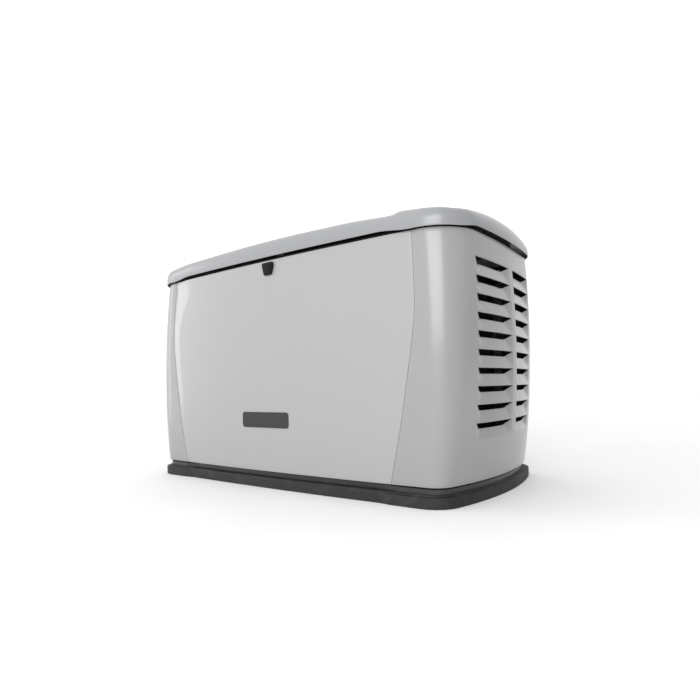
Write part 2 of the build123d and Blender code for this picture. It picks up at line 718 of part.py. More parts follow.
TUBE_AT = (152.0, -134.0)
TUBE_TOP_Z = 470.0
TUBE_FOOT_Z = 190.0
TUBE_R = 8.0
TUBE_BORE_R = 5.5
with BuildPart() as dipstick_tube:
    with BuildLine() as tube_path:
        FilletPolyline(
            (TUBE_AT[0], -CASE_HALF_Y, TUBE_FOOT_Z),
            (TUBE_AT[0], TUBE_AT[1], TUBE_FOOT_Z),
            (TUBE_AT[0], TUBE_AT[1], TUBE_TOP_Z),
            radius=18,
        )
    with BuildSketch(Plane.XZ.offset(CASE_HALF_Y)):
        with Locations((TUBE_AT[0], TUBE_FOOT_Z)):
            Circle(TUBE_R)
            Circle(TUBE_BORE_R, mode=Mode.SUBTRACT)
    sweep(path=tube_path.line)

STICK_LOW_Z = 230.0
STICK_CAP_R = 12.0
LOOP_RISE = 26.0
LOOP_R = 15.0
LOOP_THICK = 6.0
with BuildPart() as dipstick:
    with BuildSketch(Plane.XY.offset(TUBE_TOP_Z)):
        with Locations(TUBE_AT):
            Circle(STICK_CAP_R)
    extrude(amount=14)
    with BuildSketch(Plane.XY.offset(STICK_LOW_Z)):
        with Locations(TUBE_AT):
            Circle(2)
    extrude(amount=TUBE_TOP_Z - STICK_LOW_Z)
    with BuildSketch(Plane.YZ.offset(TUBE_AT[0] - LOOP_THICK / 2)):
        with Locations((TUBE_AT[1], TUBE_TOP_Z + LOOP_RISE)):
            Circle(LOOP_R)
            Circle(10, mode=Mode.SUBTRACT)
    extrude(amount=LOOP_THICK)

# ---- intake ----
RUNNER_Z = 462.0
with BuildPart() as intake_manifold:
    for side in (-1, 1):
        tilt = radians(BANK_ANGLE)
        across = Vector(0, -side * cos(tilt), sin(tilt))
        port = bank_plane(side, 225).origin + across * HEAD_HALF
        start = Vector(THROTTLE_X, port.Y, port.Z)
        turn = Vector(THROTTLE_X, port.Y - side * (RUNNER_Z - port.Z), RUNNER_Z)
        with BuildLine() as runner:
            FilletPolyline(start, turn, (THROTTLE_X, 0, RUNNER_Z), radius=30)
        with BuildSketch(Plane(origin=start, z_dir=across)):
            Circle(PIPE_R - 1)
        sweep(path=runner.line)
    with BuildSketch(Plane.XY.offset(RUNNER_Z)):
        with Locations((THROTTLE_X, 0)):
            Circle(22)
    extrude(amount=THROTTLE_Z[0] - RUNNER_Z)

LEVER_Z = 512.0
LEVER_Y = (-37.0, -34.0)
LEVER_SHAFT_R = 4.0
with BuildPart() as throttle_body:
    with Locations((THROTTLE_X, 0, sum(THROTTLE_Z) / 2)):
        Box(50, 56, THROTTLE_Z[1] - THROTTLE_Z[0])
    fillet(throttle_body.edges().filter_by(Axis.Z), 8)
    with BuildSketch(Plane.XZ.offset(10)):
        with Locations((THROTTLE_X, LEVER_Z)):
            Circle(LEVER_SHAFT_R + SHAFT_FIT)
    extrude(amount=BEYOND, mode=Mode.SUBTRACT)

with BuildPart() as throttle_lever:
    with BuildSketch(Plane.XZ.offset(-LEVER_Y[1])):
        with Locations((THROTTLE_X, LEVER_Z)):
            SlotCenterToCenter(28, 14)
    extrude(amount=LEVER_Y[1] - LEVER_Y[0])
    with BuildSketch(Plane.XZ.offset(10.5)):
        with Locations((THROTTLE_X, LEVER_Z)):
            Circle(LEVER_SHAFT_R)
    extrude(amount=-LEVER_Y[1] - 10.5)

with BuildPart() as governor_actuator:
    with Locations((THROTTLE_X + 25 + 21, 0, 510)):
        Box(42, 42, 36)
    with BuildSketch(Plane.XY.offset(492)):
        with Locations((THROTTLE_X + 46, 0)):
            Circle(14)
    extrude(amount=-14)

CLEANER_X = (-70.0, 200.0)
CLEANER_HALF_Y = 110.0
CLEANER_Z = (535.0, 547.0, 618.0)
CLEANER_MID_X = sum(CLEANER_X) / 2
CLEANER_LENGTH = CLEANER_X[1] - CLEANER_X[0]
with BuildPart() as air_cleaner_base:
    with BuildSketch(Plane.XY.offset(CLEANER_Z[0])):
        with Locations((CLEANER_MID_X, 0)):
            RectangleRounded(CLEANER_LENGTH, 2 * CLEANER_HALF_Y, 30)
        with Locations((THROTTLE_X, 0)):
            Circle(16, mode=Mode.SUBTRACT)
    extrude(amount=CLEANER_Z[1] - CLEANER_Z[0])

with BuildPart() as filter_element:
    with BuildSketch(Plane.XY.offset(CLEANER_Z[1])):
        with Locations((CLEANER_MID_X, 0)):
            RectangleRounded(CLEANER_LENGTH - 30, 2 * CLEANER_HALF_Y - 30, 22)
            RectangleRounded(CLEANER_LENGTH - 80, 2 * CLEANER_HALF_Y - 80, 12, mode=Mode.SUBTRACT)
    extrude(amount=55)

with BuildPart() as air_cleaner_cover:
    with BuildSketch(Plane.XY.offset(CLEANER_Z[1])):
        with Locations((CLEANER_MID_X, 0)):
            RectangleRounded(CLEANER_LENGTH, 2 * CLEANER_HALF_Y, 30)
    extrude(amount=CLEANER_Z[2] - CLEANER_Z[1])
    fillet(air_cleaner_cover.faces().sort_by(Axis.Z)[-1].edges(), 14)
    with BuildSketch(Plane.XY.offset(CLEANER_Z[1])):
        with Locations((CLEANER_MID_X, 0)):
            RectangleRounded(CLEANER_LENGTH - 8, 2 * CLEANER_HALF_Y - 8, 26)
    extrude(amount=60, mode=Mode.SUBTRACT)

# ---- exhaust ----
with BuildPart() as exhaust_pipes:
    for side in (-1, 1):
        tilt = radians(BANK_ANGLE)
        outward = Vector(0, side * cos(tilt), -sin(tilt))
        port = bank_plane(side, 225).origin + outward * HEAD_HALF
        elbow = port + outward * 32
        with BuildLine() as pipe_path:
            FilletPolyline(
                port,
                elbow,
                (-240, elbow.Y, EXHAUST_Z),
                (-325, side * STUB_Y, EXHAUST_Z),
                (-380, side * STUB_Y, EXHAUST_Z),
                radius=30,
            )
        with BuildSketch(Plane(origin=port, z_dir=outward)):
            Circle(PIPE_R)
        sweep(path=pipe_path.line)

OUTLET_Y = 90.0
OUTLET_END_X = -578.0
OUTLET_R = 24.0
OUTLET_BORE_R = 20.0
OUTLET_BORE_DEPTH = 40.0
with BuildPart() as muffler:
    with BuildSketch(Plane.XZ.offset(-MUFFLER_HALF_Y)):
        with Locations((MUFFLER_X, EXHAUST_Z)):
            Circle(MUFFLER_R)
    extrude(amount=2 * MUFFLER_HALF_Y)
    fillet(muffler.edges().filter_by(GeomType.CIRCLE), 12)
    with BuildSketch(Plane.YZ.offset(MUFFLER_X)):
        with Locations((-STUB_Y, EXHAUST_Z), (STUB_Y, EXHAUST_Z)):
            Circle(PIPE_R + 3)
    extrude(amount=-380 - MUFFLER_X)
    with BuildSketch(Plane.YZ.offset(OUTLET_END_X)):
        with Locations((OUTLET_Y, EXHAUST_Z)):
            Circle(OUTLET_R)
    extrude(amount=MUFFLER_X - OUTLET_END_X)
    with BuildSketch(Plane.YZ.offset(OUTLET_END_X)):
        with Locations((OUTLET_Y, EXHAUST_Z)):
            Circle(OUTLET_BORE_R)
    extrude(amount=OUTLET_BORE_DEPTH, mode=Mode.SUBTRACT)
    with BuildSketch(Plane.XY.offset(FLOOR_Z)):
        with Locations((MUFFLER_X, -120), (MUFFLER_X, 120)):
            Rectangle(60, 12)
    extrude(amount=EXHAUST_Z - FLOOR_Z)

# ---- fuel ----
REGULATOR_X = (DIVIDER_X[1], -290.0)
REGULATOR_Z = (380.0, 500.0)
with BuildPart() as fuel_regulator:
    with Locations((sum(REGULATOR_X) / 2, REGULATOR_Y, sum(REGULATOR_Z) / 2)):
        Box(REGULATOR_X[1] - REGULATOR_X[0], 90, REGULATOR_Z[1] - REGULATOR_Z[0])
    fillet(fuel_regulator.edges().filter_by(Axis.X), 12)
    with BuildSketch(Plane.XZ.offset(-REGULATOR_Y + 45)):
        with Locations((sum(REGULATOR_X) / 2, 440)):
            Circle(34)
    extrude(amount=14)
    with BuildSketch(Plane.XY.offset(REGULATOR_Z[1])):
        with Locations((FUEL_X, REGULATOR_Y)):
            Circle(5 + SHAFT_FIT)
    extrude(amount=-12, mode=Mode.SUBTRACT)

with BuildPart() as fuel_selector:
    with BuildSketch(Plane.XY.offset(REGULATOR_Z[1] - 11)):
        with Locations((FUEL_X, REGULATOR_Y)):
            Circle(5)
    extrude(amount=15)
    with BuildSketch(Plane.XY.offset(REGULATOR_Z[1] + 0.5)):
        with Locations((FUEL_X, REGULATOR_Y)):
            Circle(17)
    extrude(amount=6)
    with BuildSketch(Plane.XY.offset(REGULATOR_Z[1] + 6)):
        with Locations((FUEL_X, REGULATOR_Y)):
            RectangleRounded(44, 10, 4)
    extrude(amount=12)

with BuildPart() as fuel_inlet:
    with BuildLine() as inlet_path:
        FilletPolyline(
            (FUEL_X, 318, FUEL_Z),
            (FUEL_X, REGULATOR_Y, FUEL_Z),
            (FUEL_X, REGULATOR_Y, REGULATOR_Z[0]),
            radius=40,
        )
    with BuildSketch(Plane.XZ.offset(-318)):
        with Locations((FUEL_X, FUEL_Z)):
            Circle(FUEL_PIPE_R)
    sweep(path=inlet_path.line)
    with BuildSketch(Plane.XZ.offset(-290)):
        with Locations((FUEL_X, FUEL_Z)):
            RegularPolygon(18, 6)
    extrude(amount=12)
    with BuildSketch(Plane.XZ.offset(-318)):
        with Locations((FUEL_X, FUEL_Z)):
            Circle(8)
    extrude(amount=24, mode=Mode.SUBTRACT)

with BuildPart() as fuel_hose:
    with BuildLine() as hose_path:
        FilletPolyline(
            (REGULATOR_X[1], REGULATOR_Y, 440),
            (-225, REGULATOR_Y, 440),
            (-45, 0, LEVER_Z),
            (THROTTLE_X - 25, 0, LEVER_Z),
            radius=70,
        )
    with BuildSketch(Plane.YZ.offset(REGULATOR_X[1])):
        with Locations((REGULATOR_Y, 440)):
            Circle(11)
    sweep(path=hose_path.line)

# ---- alternator ----
with BuildPart() as stator:
    with BuildSketch(Plane.YZ.offset(STATOR_X[0])):
        with Locations((0, CRANK_Z)):
            Circle(STATOR_R)
            Circle(STATOR_BORE_R, mode=Mode.SUBTRACT)
    extrude(amount=STATOR_X[1] - STATOR_X[0])

with BuildPart() as rotor:
    with BuildSketch(Plane.YZ.offset(ROTOR_X[0])):
        with Locations((0, CRANK_Z)):
            Circle(ROTOR_R)
            with PolarLocations(ROTOR_R, 2, start_angle=90):
                Rectangle(36, 46, mode=Mode.SUBTRACT)
    extrude(amount=ROTOR_X[1] - ROTOR_X[0])
    with BuildSketch(Plane.YZ.offset(CARRIER_X[0] + 8)):
        with Locations((0, CRANK_Z)):
            Circle(JOURNAL_R)
    extrude(amount=ROTOR_X[0] - CARRIER_X[0] - 8)

with BuildPart() as bearing_carrier:
    with BuildSketch(Plane.YZ.offset(CARRIER_X[0])):
        with Locations((0, CRANK_Z)):
            Circle(STATOR_R)
        with Locations((0, (MOUNT_TOP_Z + CRANK_Z) / 2)):
            Rectangle(190, CRANK_Z - MOUNT_TOP_Z)
    extrude(amount=CARRIER_X[1] - CARRIER_X[0])
    with BuildSketch(Plane.YZ.offset(CARRIER_X[0] + 6)):
        with Locations((0, CRANK_Z)):
            Circle(JOURNAL_R + SHAFT_FIT)
    extrude(amount=CARRIER_X[1] - CARRIER_X[0] - 6, mode=Mode.SUBTRACT)

with BuildPart() as rubber_mounts:
    with BuildSketch(Plane.XY.offset(FLOOR_Z)):
        with Locations((130, -80), (130, 80), (-281, -75), (-281, 75)):
            Circle(18)
    extrude(amount=MOUNT_TOP_Z - FLOOR_Z)

# ---- controls ----
FACE_LOW = (-255.0, 560.0)
FACE_HIGH = (-190.0, 645.0)
CONTROL_FLOOR_Z = 480.0
CONTROL_BACK_Y = -120.0
FACE_PLANE = Plane(
    origin=(
        sum(CONTROL_X) / 2,
        (FACE_LOW[0] + FACE_HIGH[0]) / 2,
        (FACE_LOW[1] + FACE_HIGH[1]) / 2,
    ),
    x_dir=(1, 0, 0),
    z_dir=(0, FACE_LOW[1] - FACE_HIGH[1], FACE_HIGH[0] - FACE_LOW[0]),
)
LENS_AT = (-45.0, 16.0)
LENS_SIZE = (94.0, 44.0)
SWITCH_AT = (62.0, 10.0)
SWITCH_SIZE = (26.0, 46.0)
# The menu buttons, by name: X on the sloping face.
BUTTON_ROW_Y = -30.0
BUTTONS = {"escape_button": -81.0, "up_button": -57.0, "down_button": -33.0, "enter_button": -9.0}

with BuildPart() as control_housing:
    with BuildSketch(Plane.YZ.offset(CONTROL_X[0])):
        with BuildLine():
            Polyline(
                (FACE_LOW[0], CONTROL_FLOOR_Z),
                FACE_LOW,
                FACE_HIGH,
                (CONTROL_BACK_Y, FACE_HIGH[1]),
                (CONTROL_BACK_Y, CONTROL_FLOOR_Z),
                close=True,
            )
        make_face()
    extrude(amount=CONTROL_X[1] - CONTROL_X[0])
    with BuildSketch(FACE_PLANE):
        with Locations(LENS_AT):
            Rectangle(*LENS_SIZE)
    extrude(amount=-1, mode=Mode.SUBTRACT)
    with BuildSketch(FACE_PLANE):
        with Locations(SWITCH_AT):
            Rectangle(SWITCH_SIZE[0] + 2, SWITCH_SIZE[1] + 2)
    extrude(amount=-16, mode=Mode.SUBTRACT)
    with BuildSketch(FACE_PLANE):
        with Locations(*[(x, BUTTON_ROW_Y) for x in BUTTONS.values()]):
            Circle(BUTTON_R + BUTTON_GAP)
    extrude(amount=-BUTTON_POCKET, mode=Mode.SUBTRACT)

with BuildPart() as display_lens:
    with BuildSketch(FACE_PLANE.offset(-1)):
        with Locations(LENS_AT):
            Rectangle(*LENS_SIZE)
    extrude(amount=2.5)

with BuildPart() as mode_switch:
    with BuildSketch(FACE_PLANE.offset(-9)):
        with Locations(SWITCH_AT):
            RectangleRounded(*SWITCH_SIZE, 2)
    extrude(amount=11)


def menu_button(x):
    """A round menu button, part way down its pocket."""
    with BuildPart() as button:
        with BuildSketch(FACE_PLANE.offset(-1.4)):
            with Locations((x, BUTTON_ROW_Y)):
                Circle(BUTTON_R)
        extrude(amount=BUTTON_HEIGHT - 1.4)
    return button


buttons = {name: menu_button(x) for name, x in BUTTONS.items()}

BREAKER_FRONT_Y = -215.0
BREAKER_Z = (500.0, 600.0)
LEVER_PIVOT = (-211.0, 550.0)
with BuildPart() as breaker_body:
    with Locations((sum(BREAKER_X) / 2, BREAKER_FRONT_Y + 32, sum(BREAKER_Z) / 2)):
        Box(BREAKER_X[1] - BREAKER_X[0], 64, BREAKER_Z[1] - BREAKER_Z[0])
    with BuildSketch(Plane.XZ.offset(-BREAKER_FRONT_Y)):
        with Locations((sum(BREAKER_X) / 2, sum(BREAKER_Z) / 2)):
            Rectangle(16, 36)
    extrude(amount=-14, mode=Mode.SUBTRACT)

with BuildPart() as breaker_lever:
    with BuildSketch(Plane.YZ.offset(sum(BREAKER_X) / 2 - 7)):
        with Locations(LEVER_PIVOT):
            Circle(5)
        with BuildLine():
            Polyline(
                (LEVER_PIVOT[0] + 1, LEVER_PIVOT[1] + 4.5),
                (LEVER_PIVOT[0] - 22, LEVER_PIVOT[1] + 11.5),
                (LEVER_PIVOT[0] - 24, LEVER_PIVOT[1] + 5.5),
                (LEVER_PIVOT[0] - 1, LEVER_PIVOT[1] - 4.5),
                close=True,
            )
        make_face()
    extrude(amount=14)

TERMINAL_R = 8.0
TERMINAL_HEIGHT = 14.0
TERMINAL_SPACING = 150.0
TERMINAL_SETBACK = 60.0
BATTERY_CORNER_R = 6.0
with BuildPart() as battery:
    with BuildSketch(Plane.XY.offset(FLOOR_Z)):
        with Locations(BATTERY_CENTRE):
            RectangleRounded(BATTERY_SIZE[0], BATTERY_SIZE[1], BATTERY_CORNER_R)
    extrude(amount=BATTERY_SIZE[2] - TERMINAL_HEIGHT)
    with BuildSketch(Plane.XY.offset(FLOOR_Z + BATTERY_SIZE[2] - TERMINAL_HEIGHT)):
        with Locations((BATTERY_CENTRE[0], BATTERY_CENTRE[1] - TERMINAL_SETBACK)):
            with GridLocations(TERMINAL_SPACING, 0, 2, 1):
                Circle(TERMINAL_R)
    extrude(amount=TERMINAL_HEIGHT)

pieces = {
    "mounting_pad": mounting_pad,
    "base_frame": base_frame,
    "front_panel": front_panel,
    "nameplate": nameplate,
    "left_end_panel": left_end_panel,
    "right_end_panel": right_end_panel,
    "rear_panel": rear_panel,
    "frame_uprights": frame_uprights,
    "panel_screws": panel_screws,
    "lid": lid,
    "lid_liner": lid_liner,
    "lid_seal": lid_seal,
    "hinge_base_leaves": hinge_base_leaves,
    "hinge_lid_leaves": hinge_lid_leaves,
    "hinge_pins": hinge_pins,
    "lock_barrel": lock_barrel,
    "lock_cam": lock_cam,
    "lock_cover": lock_cover,
    "lid_striker": lid_striker,
    "divider_wall": divider_wall,
    "intake_partition": intake_partition,
    "crankcase": crankcase,
    "cylinders": cylinders,
    "cylinder_heads": cylinder_heads,
    "rocker_covers": rocker_covers,
    "spark_plugs": spark_plugs,
    "blower_housing": blower_housing,
    "flywheel_fan": flywheel_fan,
    "crankshaft": crankshaft,
    "oil_filter": oil_filter,
    "starter_motor": starter_motor,
    "dipstick_tube": dipstick_tube,
    "dipstick": dipstick,
    "intake_manifold": intake_manifold,
    "throttle_body": throttle_body,
    "throttle_lever": throttle_lever,
    "governor_actuator": governor_actuator,
    "air_cleaner_base": air_cleaner_base,
    "filter_element": filter_element,
    "air_cleaner_cover": air_cleaner_cover,
    "exhaust_pipes": exhaust_pipes,
    "muffler": muffler,
    "fuel_regulator": fuel_regulator,
    "fuel_selector": fuel_selector,
    "fuel_inlet": fuel_inlet,
    "fuel_hose": fuel_hose,
    "stator": stator,
    "rotor": rotor,
    "bearing_carrier": bearing_carrier,
    "rubber_mounts": rubber_mounts,
    "control_housing": control_housing,
    "display_lens": display_lens,
    "mode_switch": mode_switch,
    **buttons,
    "breaker_body": breaker_body,
    "breaker_lever": breaker_lever,
    "battery": battery,
}
os.makedirs("parts", exist_ok=True)
for name, piece in pieces.items():
    piece.part.label = name
    export_step(piece.part, f"parts/{name}.step")
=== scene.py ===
from collections import namedtuple
import json
import math

import bmesh
import bpy
from mathutils import Matrix, Vector
from mathutils.geometry import delaunay_2d_cdt
import numpy as np


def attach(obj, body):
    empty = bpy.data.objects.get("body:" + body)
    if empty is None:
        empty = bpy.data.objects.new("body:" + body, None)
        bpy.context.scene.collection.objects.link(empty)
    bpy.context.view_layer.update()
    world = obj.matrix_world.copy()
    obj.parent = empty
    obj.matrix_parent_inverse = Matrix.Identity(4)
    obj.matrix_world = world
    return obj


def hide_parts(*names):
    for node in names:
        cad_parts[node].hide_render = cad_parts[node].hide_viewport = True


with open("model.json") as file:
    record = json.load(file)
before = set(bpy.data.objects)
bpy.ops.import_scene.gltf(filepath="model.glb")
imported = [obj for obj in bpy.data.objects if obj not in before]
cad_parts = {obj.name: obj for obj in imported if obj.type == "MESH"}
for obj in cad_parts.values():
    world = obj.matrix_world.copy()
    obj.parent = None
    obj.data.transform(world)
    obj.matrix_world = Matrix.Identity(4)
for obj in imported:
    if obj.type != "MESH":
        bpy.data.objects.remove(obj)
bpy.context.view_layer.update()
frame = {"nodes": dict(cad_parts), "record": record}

MM = 0.001

# ---- the enclosure's plan outlines, in millimetres, as in the CAD ----
Outline = namedtuple("Outline", "half_x half_y front_bow end_bow corner_r")
PAD_PLAN = Outline(594.0, 319.0, 15.5, 50.0, 56.0)
PAD_CORNER_PLAN = Outline(598.0, 318.8, 4.0, 50.0, 78.0)
PANEL_LOW = Outline(589.5, 314.5, 15.4, 50.0, 54.0)
PANEL_MID = Outline(608.8, 316.5, 17.5, 40.0, 86.0)
PANEL_HIGH = Outline(596.0, 305.3, 19.5, 18.0, 118.0)
LID_PLAN = Outline(607.0, 313.5, 19.5, 24.0, 124.0)
PANEL_Z = (49.0, 669.0)
SEAM_X = 470.0
SEAM_GAP = 0.9
SHEET = 2.2
# The front seams, (Z, half X), and the facet beside each: (Z, width), and how far it is pulled in.
FRONT_SEAM = (
    (30.0, 402.0),
    (200.0, 439.0),
    (300.0, 456.0),
    (400.0, 471.5),
    (470.0, 479.0),
    (560.0, 476.0),
    (640.0, 471.5),
    (690.0, 469.0),
)
FACET_WIDTH = (
    (49.0, 30.0),
    (450.0, 32.0),
    (500.0, 34.0),
    (540.0, 48.0),
    (600.0, 77.0),
    (625.0, 88.0),
    (640.0, 87.0),
    (655.0, 76.0),
    (669.0, 58.0),
)
FACET_SLOPE = 0.04
FACET_FADE_Z = (130.0, 300.0)

PAD_CORNER_X = 420.0
PAD_RAMP = 50.0
LEDGE_PROUD = 13.0
ANCHORS = [(sx * 490.0, sy * 225.0) for sx in (-1, 1) for sy in (-1, 1)]
ANCHOR_R = 7.0

LOUVRE_ROWS = 10
LOUVRE_PITCH = 45.6
LOUVRE_TOP_Z = 606.0
LOUVRE_SLOT = 15.0
LOUVRE_DEPTH = 9.0
LOUVRE_FADE = 34.0
LOUVRE_TAPERS = (25.0, 54.0)
LOUVRE_RETURN = 27.0
LOUVRE_COLUMNS = ((-90.0, 200.0), (121.0, 156.0))

RIM_Z = 678.0
SHOULDER_Z = 684.0
# The roof's height at stations along the lid: a long low crown, a step up, then the raised right end.
# The roof's height along X on each side of the step: rounded results of a least-squares fit.
ROOF_LEFT = (
    (-575.0, 712.5),
    (-430.0, 725.5),
    (-260.0, 728.5),
    (-90.0, 731.0),
    (70.0, 730.5),
    (200.0, 728.0),
    (300.0, 727.0),
    (390.0, 721.5),
)
ROOF_RIGHT = ((430.0, 726.0), (470.0, 729.5), (510.0, 735.0), (550.0, 739.0), (590.0, 730.5))
STEP_X = 423.0
STEP_HALF = 10.5
RIGHT_CROWN = 22.5
# The shoulder's width: front left, front right, the ends, and the middle of a corner.
SHOULDERS = (23.0, 29.0, 22.5, 14.0)
CORNER_DROP = 1.5
ROOF_LIMIT = 731.8
ROOF_EASE = 3.0
RIM_DROP = 7.6


# ---- outlines and mesh helpers ----
def quarter(plan, counts=(160, 60, 90)):
    """A quarter of an outline, from mid-front to the middle of the right end, as (x, y) rows."""
    corner_x = plan.half_x - plan.end_bow
    corner_y = plan.half_y - plan.front_bow
    front_r = (corner_x**2 + plan.front_bow**2) / (2 * plan.front_bow)
    end_r = (corner_y**2 + plan.end_bow**2) / (2 * plan.end_bow)
    front_c = np.array([0.0, front_r - plan.half_y])
    end_c = np.array([plan.half_x - end_r, 0.0])
    near, far = front_r - plan.corner_r, end_r - plan.corner_r
    gap = end_c - front_c
    reach = np.linalg.norm(gap)
    along = (near**2 - far**2 + reach**2) / (2 * reach)
    across = math.sqrt(near**2 - along**2)
    unit = gap / reach
    fillet_c = front_c + along * unit + across * np.array([-unit[1], unit[0]])
    other = front_c + along * unit - across * np.array([-unit[1], unit[0]])
    if other[0] > 0 and other[1] < 0:
        fillet_c = other
    a1 = math.atan2(*(fillet_c - front_c)[::-1])
    a2 = math.atan2(*(fillet_c - end_c)[::-1])
    arcs = (
        (front_c, front_r, -math.pi / 2, a1, counts[0]),
        (fillet_c, plan.corner_r, a1, a2, counts[1]),
        (end_c, end_r, a2, 0.0, counts[2]),
    )
    rows = []
    for centre, radius, start, end, n in arcs:
        angles = np.linspace(start, end, n + 1)[(1 if rows else 0):]
        rows.append(centre + radius * np.stack([np.cos(angles), np.sin(angles)], 1))
    return np.concatenate(rows)


LOW, MIDDLE, HIGH = (quarter(p) for p in (PANEL_LOW, PANEL_MID, PANEL_HIGH))


def panel_section(z):
    """The enclosure body's quarter outline at height z, quadratic through its three outlines."""
    s = (z - PANEL_Z[0]) / (PANEL_Z[1] - PANEL_Z[0])
    return 2 * (s - 0.5) * (s - 1) * LOW + 4 * s * (1 - s) * MIDDLE + s * (2 * s - 1) * HIGH


def smooth(t):
    t = np.clip(t, 0.0, 1.0)
    return t * t * (3 - 2 * t)


def curve(x, stations):
    """A smooth curve through (x, value) stations, with slopes from their neighbours."""
    xs, values = np.array(stations).T
    slopes = np.gradient(values, xs)
    x = min(max(x, xs[0]), xs[-1])
    i = min(int(np.searchsorted(xs, x, side="right")) - 1, len(xs) - 2)
    width = xs[i + 1] - xs[i]
    t = (x - xs[i]) / width
    start = values[i] * (1 + 2 * t) + slopes[i] * width * t
    finish = values[i + 1] * (3 - 2 * t) - slopes[i + 1] * width * (1 - t)
    return start * (1 - t) ** 2 + finish * t**2


def make_object(name, verts, faces, body, material, smooth_angle=35.0):
    """A mesh object from vertices in millimetres, with smooth shading below an angle."""
    mesh = bpy.data.meshes.new(name)
    mesh.from_pydata([tuple(MM * float(c) for c in v) for v in verts], [], faces)
    bm = bmesh.new()
    bm.from_mesh(mesh)
    bmesh.ops.remove_doubles(bm, verts=bm.verts, dist=0.00004)
    bmesh.ops.dissolve_degenerate(bm, edges=bm.edges, dist=0.00003)
    bmesh.ops.recalc_face_normals(bm, faces=bm.faces)
    bm.to_mesh(mesh)
    bm.free()
    return add_mesh(name, mesh, body, material, smooth_angle)


def add_mesh(name, mesh, body, material, smooth_angle=35.0):
    obj = bpy.data.objects.new(name, mesh)
    bpy.context.scene.collection.objects.link(obj)
    mesh.shade_smooth()
    if smooth_angle:
        mesh.set_sharp_from_angle(angle=math.radians(smooth_angle))
    mesh.materials.append(material)
    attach(obj, body)
    return obj


def grid_faces(rows, columns, skip=None, closed=False):
    """Quads of a rows by columns grid of vertices, without the cells that skip(row, column) names."""
    faces = []
    for i in range(rows - 1):
        for j in range(columns if closed else columns - 1):
            if skip is None or not skip(i, j):
                k = (j + 1) % columns
                faces.append((i * columns + j, i * columns + k, (i + 1) * columns + k, (i + 1) * columns + j))
    return faces


def thicken(obj, thickness, edge=0.6, lining=None):
    """Gives an open skin its sheet thickness, inwards, with softened edges and a lined inner face."""
    shell = obj.modifiers.new("sheet", "SOLIDIFY")
    if lining:
        obj.data.materials.append(lining)
        shell.material_offset = 1
    shell.thickness = thickness * MM
    shell.offset = -1.0
    soften = obj.modifiers.new("edges", "BEVEL")
    soften.width = edge * MM
    soften.segments = 2
    soften.limit_method = "ANGLE"
    soften.angle_limit = math.radians(50)
    apply_modifiers(obj)


def apply_modifiers(obj):
    bpy.context.view_layer.update()
    depsgraph = bpy.context.evaluated_depsgraph_get()
    mesh = bpy.data.meshes.new_from_object(obj.evaluated_get(depsgraph))
    obj.modifiers.clear()
    obj.data = mesh


# ---- materials ----
FIXED_SOCKETS = {"coat": "Coat Weight", "coat_roughness": "Coat Roughness", "specular": "Specular IOR Level"}


